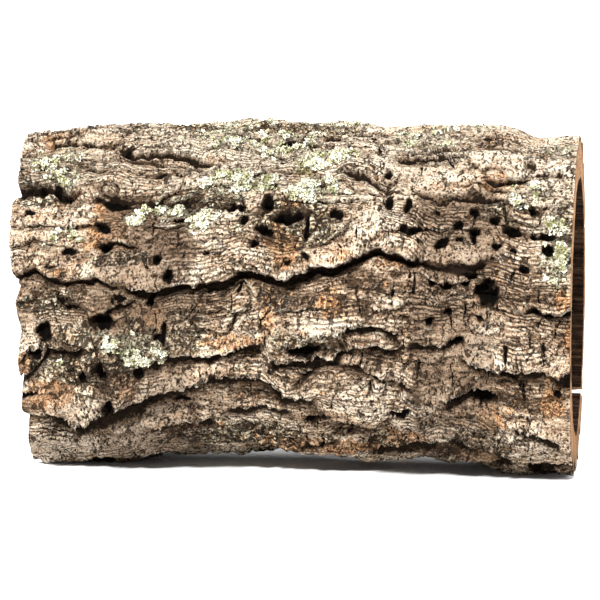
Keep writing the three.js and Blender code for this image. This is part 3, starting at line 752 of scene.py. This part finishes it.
def bore_points(turns, shares):
    """The bore's corners: woody, with low ribs along it."""
    x = between_cuts(turns, shares)
    lower, upper = lips_at(x)
    part = (turns - lower) / (upper - lower)
    slant = SLANT_LOWER * (1 - eased(part, 0, SLANT_SHARE)) + SLANT_UPPER * eased(part, 1 - SLANT_SHARE, 1)
    angle = np.radians(turns + slant)
    grain = noise(noise_place(x, angle, BORE_GRAIN_RADIUS), BORE_GRAIN_SIZE, 60, 4)
    ribs = waves_of(x, angle, BORE_RIBS) + BORE_GRAIN_HEIGHT * grain
    middle, _ = section_at(x)
    y = -(INSIDE_DEPTH + ribs) * np.cos(angle)
    z = middle + (INSIDE_HEIGHT + ribs) * np.sin(angle)
    return np.stack([x, y, z], 1), x, millimetres_round(turns + slant)


# The bark's mesh

def mesh_from(shape, name):
    mesh = bpy.data.meshes.new(name)
    shape.to_mesh(mesh)
    shape.free()
    return mesh


def side_edges(shape, corners):
    return [shape.edges.get((a, b)) for a, b in zip(corners, corners[1:])]


def sheet(shape, along_cells, round_cells):
    """A flat grid as a table of corners, with its columns along the tube and its rows round it."""
    made = bmesh.ops.create_grid(shape, x_segments=along_cells, y_segments=round_cells, size=1)
    return [made["verts"][i:i + along_cells + 1] for i in range(0, len(made["verts"]), along_cells + 1)]


def put_at(table, points):
    for corner, point in zip((corner for row in table for corner in row), points):
        corner.co = point


def stretches(corners):
    """A side cut into stretches short enough to be joined without a twist."""
    ends = np.linspace(0, len(corners) - 1, SIDE_STRETCHES + 1).round().astype(int)
    return [corners[start:end + 1] for start, end in zip(ends, ends[1:])]


def close_side(shape, outer, inner):
    """Closes the gap between one side of the outer face and the same side of the bore."""
    for outer_part, inner_part in zip(stretches(outer), stretches(inner)):
        edges = side_edges(shape, outer_part) + side_edges(shape, inner_part)
        for face in bmesh.ops.bridge_loops(shape, edges=edges)["faces"]:
            face.material_index = RIM_FINISH
        for edge in edges:
            edge.smooth = False


def bore_grid(outer_turns):
    """The turns of the bore's corners, taken from the outer face's, and their shares of the length."""
    columns = np.linspace(0, ALONG_CELLS, BORE_ALONG_CELLS + 1).round().astype(int)
    rows = np.linspace(0, ROUND_CELLS, BORE_ROUND_CELLS + 1)
    turns = [np.interp(rows, np.arange(ROUND_CELLS + 1), outer_turns[:, column]) for column in columns]
    return np.array(turns).T.ravel(), np.tile(columns / ALONG_CELLS, BORE_ROUND_CELLS + 1)


def bark_mesh(outer_turns):
    """The whole tube as one closed skin, its outer corners, and what its skin does and its shaders read."""
    shape = bmesh.new()
    outer = sheet(shape, ALONG_CELLS, ROUND_CELLS)
    inner = sheet(shape, BORE_ALONG_CELLS, BORE_ROUND_CELLS)
    shares = np.tile(np.linspace(0, 1, ALONG_CELLS + 1), ROUND_CELLS + 1)
    outer_places, bark = outer_points(outer_turns.ravel(), shares)
    bore_places, bore_x, bore_round = bore_points(*bore_grid(outer_turns))
    put_at(outer, outer_places * MILLIMETRE)
    put_at(inner, bore_places * MILLIMETRE)
    for face in shape.faces:
        face.smooth = True
    bore_faces = {face for row in inner for corner in row for face in corner.link_faces}
    for face in bore_faces:
        face.material_index = BORE_FINISH
    bmesh.ops.reverse_faces(shape, faces=list(bore_faces))
    close_side(shape, outer[0], inner[0])
    close_side(shape, outer[-1], inner[-1])
    close_side(shape, [row[0] for row in outer], [row[0] for row in inner])
    close_side(shape, [row[-1] for row in outer], [row[-1] for row in inner])
    bmesh.ops.recalc_face_normals(shape, faces=shape.faces)
    mesh = mesh_from(shape, "bark")
    tables = shader_tables(bark)
    write_tables(mesh, bark, tables, bore_x, bore_round)
    lay_out_bark(mesh, len(shares))
    return mesh, outer_places, bark, tables


def write_tables(mesh, bark, tables, bore_x, bore_round):
    """Writes what the shaders read: at the outer face's corners first, then at the bore's."""
    bore_blank = np.zeros(len(bore_x))
    grain = np.stack([
        np.concatenate([bark["x"], bore_x]),
        np.concatenate([bark["round"], bore_round]),
        np.concatenate([WALL + bark["height"], bore_blank]),
    ], 1)
    write_vectors(mesh, "grain", grain)
    for name, values in tables.items():
        write_numbers(mesh, name, np.concatenate([values, bore_blank]))
    write_numbers(mesh, "wall", np.concatenate([np.zeros(len(bark["x"])), np.ones(len(bore_x))]))


def shader_tables(bark):
    """What the bark's shaders read at each corner of the outer face."""
    place = bark["place"]
    lined = np.maximum(patched(bark, LINED_PATCHES, 70), 0.75 * eased(noise(place, 22, 71, 1.6), -0.25, 0.35))
    # The first three are painted light: shade under lips and in grooves and holes, a highlight along lips,
    # and shade round the round lips
    return {
        "hollow": np.clip(bark["hollow"], 0, 1.5),
        "edge": np.clip(bark["edge"], 0, 1),
        "brow": np.clip(bark["brow"], 0, 1),
        **{name: bark[name] for name in ("hole_shade", "crack", "tint", "crumbled")},
        "layers": bark["down"] / GROWTH_SPACING + 0.12 * bark["calm"] + 0.6 * noise(place, 16, 72, 3),
        "lined": lined,
        # Lighter towards the crown, and, as painted light where the lamps reach less, towards the underside;
        # the bleached and damp patches are the bark's own
        "pale_and_painted_light": (
            eased(bark["turn"] + 14 * noise(place, 30, 79), 22, 50)
            + 0.8 * noise(place, 26, 80, 1.5)
            + 0.7 * eased(-bark["turn"], 28, 60)
            + patched(bark, BLEACHED_PATCHES, 81)
            - patched(bark, DAMP_PATCHES, 82)
        ),
        **{name: covered(bark, *COVERS[name]) for name in ("rust", "lichen", "moss")},
    }


# The flat map that the bark is baked on: outer face above, bore below it, and the four cut sides as strips
OUTER_PATCH = (0.01, 0.40, 0.98, 0.59)
BORE_PATCH = (0.01, 0.01, 0.69, 0.36)
STRIP_LEFT, STRIP_LENGTH, STRIP_WIDTH, STRIP_STEP = 0.72, 0.27, 0.07, 0.09


def shares_of(corner, along_cells, round_cells):
    """How far round and how far along each corner of a sheet is, from 0 to 1."""
    return corner // (along_cells + 1) / round_cells, corner % (along_cells + 1) / along_cells


def lay_out_bark(mesh, outer_count):
    corner = read_numbers(mesh.loops, "vertex_index")
    starts = read_numbers(mesh.polygons, "loop_start")
    finish = read_numbers(mesh.polygons, "material_index")
    owner = np.repeat(np.arange(len(starts)), np.diff(np.append(starts, len(corner))))
    inside = corner >= outer_count
    outer_round, outer_along = shares_of(corner, ALONG_CELLS, ROUND_CELLS)
    bore_round, bore_along = shares_of(corner - outer_count, BORE_ALONG_CELLS, BORE_ROUND_CELLS)
    around = np.where(inside, bore_round, outer_round)
    along = np.where(inside, bore_along, outer_along)
    outer_map = OUTER_PATCH[0] + OUTER_PATCH[2] * around, OUTER_PATCH[1] + OUTER_PATCH[3] * (1 - along)
    bore_map = BORE_PATCH[0] + BORE_PATCH[2] * around, BORE_PATCH[1] + BORE_PATCH[3] * along
    places = np.where(inside, bore_map, outer_map).T.copy()
    cut = finish[owner] == RIM_FINISH
    for number, (on_side, share) in enumerate((
        (around == 0, along), (around == 1, 1 - along), (along == 0, 1 - around), (along == 1, around),
    )):
        strip = cut & np.logical_and.reduceat(on_side, starts)[owner]
        places[strip, 0] = STRIP_LEFT + STRIP_LENGTH * share[strip]
        places[strip, 1] = BORE_PATCH[1] + STRIP_STEP * number + STRIP_WIDTH * (1 - inside[strip])
    write_map(mesh, places)


def read_numbers(items, name):
    numbers = np.empty(len(items), np.int32)
    items.foreach_get(name, numbers)
    return numbers


def write_map(mesh, places):
    layer = mesh.uv_layers.new(name="OFBake")
    layer.data.foreach_set("uv", np.ascontiguousarray(places, dtype=np.float32).ravel())


def write_numbers(mesh, name, values):
    made = mesh.attributes.new(name, "FLOAT", "POINT")
    made.data.foreach_set("value", np.ascontiguousarray(values, dtype=np.float32))


def write_vectors(mesh, name, values):
    made = mesh.attributes.new(name, "FLOAT_VECTOR", "POINT")
    made.data.foreach_set("vector", np.ascontiguousarray(values, dtype=np.float32).ravel())


def add_piece(name, mesh, materials):
    piece = bpy.data.objects.new(name, mesh)
    bpy.context.scene.collection.objects.link(piece)
    for material in materials:
        mesh.materials.append(material)
    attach(piece, "root")
    return piece


# Shader nodes in short

def feed(tree, socket, value):
    if isinstance(value, bpy.types.NodeSocket):
        tree.links.new(value, socket)
    else:
        socket.default_value = value


def add_node(tree, kind, inputs=(), **settings):
    node = tree.nodes.new(kind)
    for name, value in settings.items():
        setattr(node, name, value)
    for name, value in dict(inputs).items():
        feed(tree, node.inputs[name], value)
    return node


def reckoned(tree, operation, *values):
    node = add_node(tree, "ShaderNodeMath", operation=operation)
    for socket, value in zip(node.inputs, values):
        feed(tree, socket, value)
    return node.outputs[0]


def added(tree, first, second):
    return reckoned(tree, "ADD", first, second)


def less(tree, first, second):
    return reckoned(tree, "SUBTRACT", first, second)


def product(tree, first, second):
    return reckoned(tree, "MULTIPLY", first, second)


def folded(tree, value):
    """The value folded to and fro between 0 and a half."""
    return reckoned(tree, "PINGPONG", value, 0.5)


def weighted(tree, first, *others):
    """The sum of some values, each with its weight."""
    total = product(tree, *first)
    for part in others:
        total = added(tree, total, product(tree, *part))
    return total


def soft_step(tree, value, low, high):
    """0 where the value is at low, 1 where it is at high, and soft between."""
    inputs = {"Value": value, "From Min": low, "From Max": high}
    return add_node(tree, "ShaderNodeMapRange", inputs, interpolation_type="SMOOTHSTEP").outputs["Result"]


def jagged(tree, value, mottled, reach, low, high):
    """A soft step whose edge is torn by the mottling."""
    torn = product(tree, less(tree, mottled, 0.5), reach)
    return soft_step(tree, added(tree, value, torn), low, high)


def painted(tree, colour, *coats):
    """The colour with coats on it, each a mask, how strongly it covers, and a colour."""
    for mask, strength, over in coats:
        node = add_node(tree, "ShaderNodeMix", data_type="RGBA")
        cover = mask if strength == 1 else product(tree, mask, strength)
        for socket, value in ((0, cover), (6, colour), (7, over)):
            feed(tree, node.inputs[socket], value)
        colour = node.outputs[2]
    return colour


def palette(tree, value, stops):
    node = add_node(tree, "ShaderNodeValToRGB", {"Fac": value})
    ramp = node.color_ramp
    while len(ramp.elements) < len(stops):
        ramp.elements.new(0.5)
    for element, (position, colour) in zip(ramp.elements, stops):
        element.position = position
        element.color = (*colour, 1)
    return node.outputs["Color"]


def stretched(tree, vector, scale):
    node = add_node(tree, "ShaderNodeVectorMath", operation="MULTIPLY")
    feed(tree, node.inputs[0], vector)
    node.inputs[1].default_value = scale
    return node.outputs[0]


def warped(tree, vector, scale, reach):
    """The places moved about by noise, so that a regular pattern on them turns ragged."""
    moved = add_node(tree, "ShaderNodeTexNoise", {"Vector": vector, "Scale": scale, "Detail": 2})
    centred = add_node(tree, "ShaderNodeVectorMath", operation="MULTIPLY_ADD")
    for socket, value in zip(centred.inputs, (moved.outputs["Color"], (reach, reach, reach), vector)):
        feed(tree, socket, value)
    return centred.outputs[0]


def noise_of(tree, vector, scale, detail=3, roughness=0.6):
    inputs = {"Vector": vector, "Scale": scale, "Detail": detail, "Roughness": roughness}
    return add_node(tree, "ShaderNodeTexNoise", inputs).outputs["Fac"]


def cells_of(tree, vector, scale, feature="F1"):
    inputs = {"Vector": vector, "Scale": scale}
    return add_node(tree, "ShaderNodeTexVoronoi", inputs, feature=feature).outputs["Distance"]


def table_of(tree, name, output="Fac"):
    """What the mesh says at each point under that name."""
    return add_node(tree, "ShaderNodeAttribute", attribute_name=name).outputs[output]


def new_group(name, inputs, outputs):
    tree = bpy.data.node_groups.new(name, "ShaderNodeTree")
    for socket, kind in inputs:
        tree.interface.new_socket(name=socket, in_out="INPUT", socket_type=kind)
    for socket, kind in outputs:
        tree.interface.new_socket(name=socket, in_out="OUTPUT", socket_type=kind)
    return tree, tree.nodes.new("NodeGroupInput").outputs, tree.nodes.new("NodeGroupOutput").inputs


def crumb_group():
    """Crumbly grain: a height for bumps, a mask of small pits and a mask of speckles."""
    tree, given, wanted = new_group(
        "crumb_grain",
        [("Place", "NodeSocketVector"), ("Coarse", "NodeSocketFloat"), ("Pits", "NodeSocketFloat")],
        [("Height", "NodeSocketFloat"), ("Pits", "NodeSocketFloat"), ("Speckles", "NodeSocketFloat")],
    )
    place = given["Place"]
    coarse = noise_of(tree, place, given["Coarse"], 5, 0.65)
    fine = noise_of(tree, place, 0.9, 4, 0.75)
    dots = cells_of(tree, warped(tree, place, 0.7, 2.5), 0.5)
    where = noise_of(tree, place, 0.13, 2)
    pits = product(tree, soft_step(tree, dots, 0.4, 0.22), soft_step(tree, where, 0.42, 0.56))
    pits = product(tree, pits, given["Pits"])
    height = weighted(tree, (coarse, 1.3), (fine, 0.7))
    feed(tree, wanted["Height"], less(tree, height, product(tree, pits, 0.9)))
    feed(tree, wanted["Pits"], pits)
    feed(tree, wanted["Speckles"], soft_step(tree, fine, 0.53, 0.565))
    return tree


CRUMBS = crumb_group()


def crumbs(tree, place, coarse, pits):
    node = add_node(tree, "ShaderNodeGroup", node_tree=CRUMBS)
    for name, value in (("Place", place), ("Coarse", coarse), ("Pits", pits)):
        feed(tree, node.inputs[name], value)
    return node.outputs


def new_material(name):
    material = bpy.data.materials.new(name)
    material.use_nodes = True
    tree = material.node_tree
    return material, tree, tree.nodes["Principled BSDF"]


def finish_off(tree, shader, colour, height, bump_height, roughness, gloss):
    """Gives a material its colour, its bumps and how matt it is."""
    bumps = add_node(tree, "ShaderNodeBump", {"Height": height, "Distance": bump_height, "Strength": 1.0})
    feed(tree, shader.inputs["Base Color"], colour)
    feed(tree, shader.inputs["Normal"], bumps.outputs["Normal"])
    shader.inputs["Roughness"].default_value = roughness
    shader.inputs["Specular IOR Level"].default_value = gloss


# Colours

NEAR_BLACK = (0.005, 0.0035, 0.0025, 1)
# Dark marks of the bark, and also the near-black painted shade deepest in the furrows
DARK_MARKS_AND_SHADE = (0.022, 0.014, 0.009, 1)
BROWN_SHADE = (0.105, 0.064, 0.036, 1)
# Painted shade round the round lips
PAINTED_BROW_SHADE = (0.27, 0.185, 0.122, 1)
# Painted highlight on the lips and flecks
PAINTED_HIGHLIGHT = (0.90, 0.80, 0.64, 1)
YEAR_LINE = (0.17, 0.075, 0.035, 1)
RIM_SPECK = (0.09, 0.045, 0.022, 1)
RIM_CRUST = (0.10, 0.062, 0.038, 1)
LOBE_HEART = (0.13, 0.12, 0.06, 1)
LOBE_SPECK = (0.07, 0.06, 0.03, 1)
WEATHERED = [
    (0.40, (0.060, 0.036, 0.021)), (0.445, (0.210, 0.129, 0.076)), (0.48, (0.430, 0.297, 0.192)),
    (0.525, (0.670, 0.500, 0.348)), (0.585, (0.890, 0.740, 0.565)),
]
CRUMBLED = [
    (0.39, (0.030, 0.017, 0.009)), (0.435, (0.330, 0.200, 0.100)), (0.475, (0.700, 0.500, 0.290)),
    (0.52, (0.920, 0.800, 0.580)),
]
RUST_TONES = [(0.42, (0.18, 0.064, 0.023)), (0.49, (0.59, 0.27, 0.105)), (0.58, (0.89, 0.55, 0.28))]
LICHEN_TONES = [(0.43, (0.045, 0.036, 0.018)), (0.49, (0.34, 0.30, 0.18)), (0.57, (0.86, 0.80, 0.62))]
MOSS_TONES = [(0.4, (0.07, 0.07, 0.015)), (0.6, (0.34, 0.34, 0.09))]
BORE_TONES = [(0.40, (0.012, 0.0065, 0.004)), (0.50, (0.042, 0.022, 0.013)), (0.60, (0.125, 0.070, 0.040))]
RIM_TONES = [(0.40, (0.20, 0.082, 0.036)), (0.48, (0.46, 0.225, 0.10)), (0.57, (0.76, 0.48, 0.26))]
LOBE_TONES = [
    (0.39, (0.30, 0.29, 0.13)), (0.45, (0.60, 0.58, 0.38)), (0.52, (0.82, 0.80, 0.62)),
    (0.59, (0.93, 0.93, 0.80)),
]
FLOOR_TONES = [(0, (0.86, 0.86, 0.86)), (1, (0.9, 0.9, 0.9))]

# How high the bumps of each material are
BARK_BUMPS, RIM_BUMPS, LOBE_BUMPS = 2.0 * MILLIMETRE, 0.8 * MILLIMETRE, 0.4 * MILLIMETRE


# Materials

def growth_lines(tree, along, table, broken):
    """Lines round each plate where the bark grew layer by layer."""
    phase = added(tree, table["layers"], noise_of(tree, along, 0.35, 2))
    lines = product(tree, soft_step(tree, folded(tree, phase), 0.26, 0.15), table["lined"])
    return product(tree, lines, broken)


def curled_flakes(tree, place, streaky, crumbled, broken):
    """The edges of small flakes on crumbled ground."""
    curled = folded(tree, product(tree, noise_of(tree, place, 0.15, 4, 0.6), 3.4))
    curled = product(tree, soft_step(tree, curled, 0.21, 0.11), broken)
    flakes = cells_of(tree, warped(tree, place, 0.35, 3.5), 0.27, "DISTANCE_TO_EDGE")
    flakes = product(tree, soft_step(tree, flakes, 0.17, 0.09), soft_step(tree, streaky, 0.44, 0.52))
    return product(tree, reckoned(tree, "MAXIMUM", curled, flakes), crumbled)


def hairline_splits(tree, place):
    """Fine splits across the tube's length."""
    crossing = stretched(tree, warped(tree, place, 0.3, 5), (1, 0.3, 0.6))
    splits = soft_step(tree, cells_of(tree, crossing, 0.16, "DISTANCE_TO_EDGE"), 0.085, 0.04)
    return product(tree, splits, soft_step(tree, noise_of(tree, place, 0.2, 3), 0.50, 0.58))


def weathered_bark(names):
    """Grey-brown plates with growth lines, cracks, pits, rust and lichen stain, with painted highlights on
    the lips and painted shade, brown to near-black, in the furrows and holes.
    """
    material, tree, shader = new_material("weathered_bark")
    place = table_of(tree, "grain", "Vector")
    table = {name: table_of(tree, name) for name in names}
    grain = crumbs(tree, place, 0.55, 1.0)
    along = stretched(tree, place, (0.3, 1, 1))
    cloudy = noise_of(tree, along, 0.11, 4, 0.6)
    streaky = noise_of(tree, stretched(tree, place, (0.12, 1, 1)), 0.9, 4, 0.6)
    mottled = noise_of(tree, place, 0.55, 5, 0.7)
    skin_height = add_node(tree, "ShaderNodeSeparateXYZ", {"Vector": place}).outputs["Z"]
    # Lower places get a darker tone: painted shade in the recesses
    raised = less(tree, skin_height, WALL)
    tone = weighted(
        tree, (cloudy, 0.46), (streaky, 0.36), (mottled, 0.18), (table["tint"], 0.045), (table["pale_and_painted_light"], 0.05),
        (raised, 0.008),
    )

    crumbled = jagged(tree, table["crumbled"], mottled, 1.2, 0.3, 0.6)
    flaky = weighted(tree, (noise_of(tree, place, 0.26, 4, 0.62), 0.85), (cloudy, 0.15))
    # Bright pinpoint flecks: painted highlights, more of them on crumbled ground
    highlight_flecks = soft_step(tree, noise_of(tree, along, 1.1, 3, 0.7), 0.53, 0.6)
    highlight_flecks = product(tree, highlight_flecks, added(tree, product(tree, crumbled, 0.35), 0.2))
    rust = jagged(tree, table["rust"], noise_of(tree, place, 0.28, 5, 0.7), 3.2, 0.24, 0.46)
    # Painted shade round the round lips
    brow = jagged(tree, table["brow"], mottled, 0.8, 0.35, 0.8)
    # Painted highlight along the lips and scale edges
    lip = jagged(tree, table["edge"], mottled, 0.6, 0.4, 0.7)
    broken = soft_step(tree, noise_of(tree, along, 0.42, 2), 0.33, 0.48)
    lines = growth_lines(tree, along, table, broken)
    curls = curled_flakes(tree, place, streaky, crumbled, broken)
    splits = hairline_splits(tree, place)
    cracks = jagged(tree, table["crack"], mottled, 2.0, 0.62, 0.36)
    stain = soft_step(tree, noise_of(tree, place, 0.34, 5, 0.65), 0.44, 0.52)
    stain = product(tree, stain, table["lichen"])
    moss = product(tree, table["moss"], soft_step(tree, mottled, 0.42, 0.56))
    # Painted shade under the lips, in the scale grooves and in the cavities: brown, then near-black where it
    # is deepest
    shade = jagged(tree, table["hollow"], mottled, 0.8, 0.06, 0.5)
    deep_shade = jagged(tree, table["hollow"], mottled, 1.1, 0.42, 0.62)
    # Near-black painted shade inside the holes and cavities
    holes = jagged(tree, table["hole_shade"], mottled, 0.8, 0.22, 0.36)
    colour = painted(
        tree, palette(tree, tone, WEATHERED),
        (crumbled, 1, palette(tree, flaky, CRUMBLED)),
        (highlight_flecks, 1, PAINTED_HIGHLIGHT),
        (rust, 0.75, palette(tree, mottled, RUST_TONES)),
        (brow, 0.7, PAINTED_BROW_SHADE),
        (lip, 0.5, PAINTED_HIGHLIGHT),
        (lines, 0.92, DARK_MARKS_AND_SHADE),
        (curls, 0.9, DARK_MARKS_AND_SHADE),
        (splits, 0.9, DARK_MARKS_AND_SHADE),
        (grain["Speckles"], 0.92, DARK_MARKS_AND_SHADE),
        (cracks, 1, NEAR_BLACK),
        (stain, 1, palette(tree, noise_of(tree, place, 0.8, 4, 0.7), LICHEN_TONES)),
        (moss, 1, palette(tree, noise_of(tree, place, 1.1, 2), MOSS_TONES)),
        (shade, 0.72, BROWN_SHADE),
        (deep_shade, 1, DARK_MARKS_AND_SHADE),
        (grain["Pits"], 0.95, DARK_MARKS_AND_SHADE),
        (holes, 1, NEAR_BLACK),
    )

    height = grain["Height"]
    for mask, depth in ((lines, 0.65), (curls, 1.0), (splits, 0.6), (cracks, 1.0)):
        height = less(tree, height, product(tree, mask, depth))
    for mask, rise in ((stain, 0.35), (streaky, 0.5)):
        height = added(tree, height, product(tree, mask, rise))
    finish_off(tree, shader, colour, height, BARK_BUMPS, 0.95, 0.04)
    return material


def bore_wall():
    """The inner face: dark red-brown and woody, with fine ribs along it."""
    material, tree, shader = new_material("bore_wall")
    place = table_of(tree, "grain", "Vector")
    grain = crumbs(tree, place, 0.35, 0.6)
    ribs = noise_of(tree, stretched(tree, place, (0.06, 1, 1)), 0.5, 5, 0.6)
    patches = noise_of(tree, place, 0.06, 4, 0.6)
    colour = palette(tree, weighted(tree, (ribs, 0.6), (patches, 0.4)), BORE_TONES)
    colour = painted(tree, colour, (grain["Pits"], 0.8, NEAR_BLACK))
    height = added(tree, grain["Height"], product(tree, ribs, 1.2))
    finish_off(tree, shader, colour, height, BARK_BUMPS, 0.9, 0.06)
    return material


def sawn_rim():
    """Cut cork: orange-tan, with yearly layers, dark pores across them and a dark crust outside."""
    material, tree, shader = new_material("sawn_rim")
    place = table_of(tree, "grain", "Vector")
    grain = crumbs(tree, place, 0.8, 1.0)
    wall = table_of(tree, "wall")
    wavy = noise_of(tree, place, 0.1, 3)
    years = weighted(tree, (wall, 9), (wavy, 2.4))
    lines = soft_step(tree, folded(tree, years), 0.2, 0.03)
    mixed = weighted(tree, (noise_of(tree, place, 0.9, 5, 0.7), 0.6), (wavy, 0.4))
    pores = cells_of(tree, stretched(tree, place, (1, 1, 0.3)), 0.33)
    pores = product(tree, soft_step(tree, pores, 0.36, 0.2), soft_step(tree, wavy, 0.47, 0.58))
    crust = soft_step(tree, added(tree, wall, product(tree, wavy, 0.3)), 0.36, 0.2)
    colour = painted(
        tree, palette(tree, mixed, RIM_TONES),
        (lines, 0.6, YEAR_LINE), (pores, 0.9, DARK_MARKS_AND_SHADE), (grain["Speckles"], 0.5, RIM_SPECK),
        (crust, 0.8, RIM_CRUST),
    )
    height = less(tree, grain["Height"], product(tree, pores, 0.8))
    height = less(tree, height, product(tree, lines, 0.4))
    finish_off(tree, shader, colour, height, RIM_BUMPS, 0.92, 0.06)
    return material


def leafy_lichen():
    """Pale mint to yellow-green lobes with a dark heart."""
    material, tree, shader = new_material("leafy_lichen")
    metres = add_node(tree, "ShaderNodeTexCoord").outputs["Object"]
    place = stretched(tree, metres, (1 / MILLIMETRE, 1 / MILLIMETRE, 1 / MILLIMETRE))
    grain = crumbs(tree, place, 0.8, 0.3)
    heart = soft_step(tree, table_of(tree, "tip"), 0.7, 0.2)
    colour = painted(
        tree, palette(tree, noise_of(tree, place, 0.16, 4, 0.7), LOBE_TONES),
        (heart, 1, LOBE_HEART), (grain["Speckles"], 0.6, LOBE_SPECK),
    )
    finish_off(tree, shader, colour, grain["Height"], LOBE_BUMPS, 0.9, 0.2)
    return material


# Lichen lobes: small crinkled leaves that lie on the bark

LOBE_CELLS = 4
LOBE_COUNT = 5200
LOBE_SIZES, LOBE_NARROWING = (0.6, 1.6), 0.8
LOBE_TILT = 0.32
LOBE_CLUMP = 5
LOBES_OFF_FLOOR, LOBES_OFF_CUT = 12, 2.5
LOBE_SHADE_LIMIT, LOBE_HOLE_LIMIT = 0.35, 0.2


def lobe_spots(points, bark, tables, chance):
    """Where lobes grow: on lichen, off holes and furrows."""
    cover = tables["lichen"] * (tables["hollow"] < LOBE_SHADE_LIMIT) * (bark["hole_shade"] < LOBE_HOLE_LIMIT)
    cover = cover ** 1.5 * (cover > 0.15) * (points[:, 2] > LOBES_OFF_FLOOR) * (bark["sided"] > 0.2)
    cover = cover * (bark["x"] < RIGHT_CUT - LOBES_OFF_CUT)
    clumped = eased(noise(bark["place"], LOBE_CLUMP, 90), -0.1, 0.4)
    return chance.choice(len(cover), LOBE_COUNT, p=cover * clumped / (cover * clumped).sum())


def lobe_corners(chance, flat):
    """One lobe before it is put in place: a wavy round leaf whose edge curls up."""
    across, up = flat[:, 0], flat[:, 1]
    x = across * np.sqrt(1 - up * up / 2)
    y = up * np.sqrt(1 - across * across / 2)
    away = np.sqrt(x * x + y * y)
    angle = np.arctan2(y, x)
    start = chance.uniform(0, 6.28)
    scalloped = 1 + 0.22 * np.sin(3 * angle + start) + 0.12 * np.sin(5 * angle + 2 * start)
    lift = 0.5 * away ** 2 * (0.6 + np.sin(4 * angle + start)) + 0.1 * np.sin(7 * x + start)
    return np.stack([x * scalloped, y * scalloped * LOBE_NARROWING, lift], 1), away


def flat_lobe():
    """The flat square that every lobe is bent from."""
    shape = bmesh.new()
    corners = bmesh.ops.create_grid(shape, x_segments=LOBE_CELLS, y_segments=LOBE_CELLS, size=1)["verts"]
    flat = np.array([corner.co for corner in corners])
    for face in shape.faces:
        face.smooth = True
    return mesh_from(shape, "flat_lobe"), flat


def lichen_mesh(points, normals, bark, tables):
    chance = np.random.default_rng(11)
    pattern, flat = flat_lobe()
    shape = bmesh.new()
    places, tips = [], []
    for spot in lobe_spots(points, bark, tables, chance):
        shape.from_mesh(pattern)
        corners, away = lobe_corners(chance, flat)
        out = normals[spot] + chance.normal(0, LOBE_TILT, 3)
        out /= np.linalg.norm(out)
        sideways = np.cross(out, chance.normal(0, 1, 3))
        sideways /= np.linalg.norm(sideways)
        lobe_axes = np.stack([sideways, np.cross(out, sideways), out])
        size = chance.uniform(*LOBE_SIZES)
        places.append(points[spot] + (0.15 + 0.25 * size) * normals[spot] + size * corners @ lobe_axes)
        tips.append(away)
    for corner, place in zip(shape.verts, np.concatenate(places) * MILLIMETRE):
        corner.co = place
    mesh = mesh_from(shape, "lichen_lobes")
    write_numbers(mesh, "tip", np.concatenate(tips))
    lay_out_lobes(mesh, flat)
    return mesh


def lay_out_lobes(mesh, flat):
    """One small square of the bake map for each lobe."""
    corner = read_numbers(mesh.loops, "vertex_index")
    squares = math.ceil(math.sqrt(LOBE_COUNT))
    lobe = corner // len(flat)
    in_square = 0.5 + 0.45 * flat[corner % len(flat), :2]
    write_map(mesh, (np.stack([lobe % squares, lobe // squares], 1) + in_square) / squares)


# Assembly

def corner_normals(mesh, count):
    normals = np.empty(len(mesh.vertices) * 3, np.float32)
    mesh.vertex_normals.foreach_get("vector", normals)
    return normals.reshape(-1, 3)[:count].astype(float)


skin_mesh, skin_points, skin, skin_tables = bark_mesh(crowded_turns())
bark_piece = add_piece("bark", skin_mesh, [weathered_bark(skin_tables), bore_wall(), sawn_rim()])
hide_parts("cork_bark_tube")
lobes = lichen_mesh(skin_points, corner_normals(skin_mesh, len(skin_points)), skin, skin_tables)
add_piece("lichen_lobes", lobes, [leafy_lichen()])


# Floor, light and camera, in metres

FLOOR_HALF = 15
FARTHEST_SEEN = 100
SENSOR_WIDTH = 36
WORLD_LIGHT = 0.4

# Each sun: how strong, how many degrees wide and where it stands
SUNS = {
    "key": (6.8, 6, (-0.55, -1.15, 0.95)),
    "top": (2.6, 20, (0.3, -0.3, 2.0)),
    "behind": (2.2, 20, (0.5, 1.2, 0.9)),
}


def pale_floor():
    material, tree, shader = new_material("pale_floor")
    place = add_node(tree, "ShaderNodeTexCoord").outputs["Object"]
    feed(tree, shader.inputs["Base Color"], palette(tree, noise_of(tree, place, 3, 2), FLOOR_TONES))
    shader.inputs["Roughness"].default_value = 0.9
    shape = bmesh.new()
    bmesh.ops.create_grid(shape, x_segments=1, y_segments=1, size=FLOOR_HALF)
    mesh = mesh_from(shape, "floor")
    mesh.materials.append(material)
    floor = bpy.data.objects.new("floor", mesh)
    bpy.context.scene.collection.objects.link(floor)


def aimed(thing, place, target):
    thing.location = place
    thing.rotation_euler = (Vector(target) - Vector(place)).to_track_quat("-Z", "Y").to_euler()
    bpy.context.scene.collection.objects.link(thing)
    return thing


def studio_light():
    for name, (strength, softness, place) in SUNS.items():
        light = bpy.data.lights.new(name, "SUN")
        light.energy = strength
        light.angle = math.radians(softness)
        aimed(bpy.data.objects.new(name, light), place, (0, 0, 0))
    world = bpy.data.worlds.new("studio")
    world.use_nodes = True
    world.node_tree.nodes["Background"].inputs["Color"].default_value = (1, 1, 1, 1)
    world.node_tree.nodes["Background"].inputs["Strength"].default_value = WORLD_LIGHT
    bpy.context.scene.world = world


def side_camera():
    data = bpy.data.cameras.new("camera")
    data.sensor_width = SENSOR_WIDTH
    data.lens = SENSOR_WIDTH * VIEW_FOCAL / VIEW_SIZE
    data.clip_end = FARTHEST_SEEN
    target = np.array([0, 0, VIEW_HEIGHT]) * MILLIMETRE
    bpy.context.scene.camera = aimed(bpy.data.objects.new("camera", data), EYE * MILLIMETRE, target)


pale_floor()
studio_light()
side_camera()
bpy.context.scene.view_settings.view_transform = "Standard"
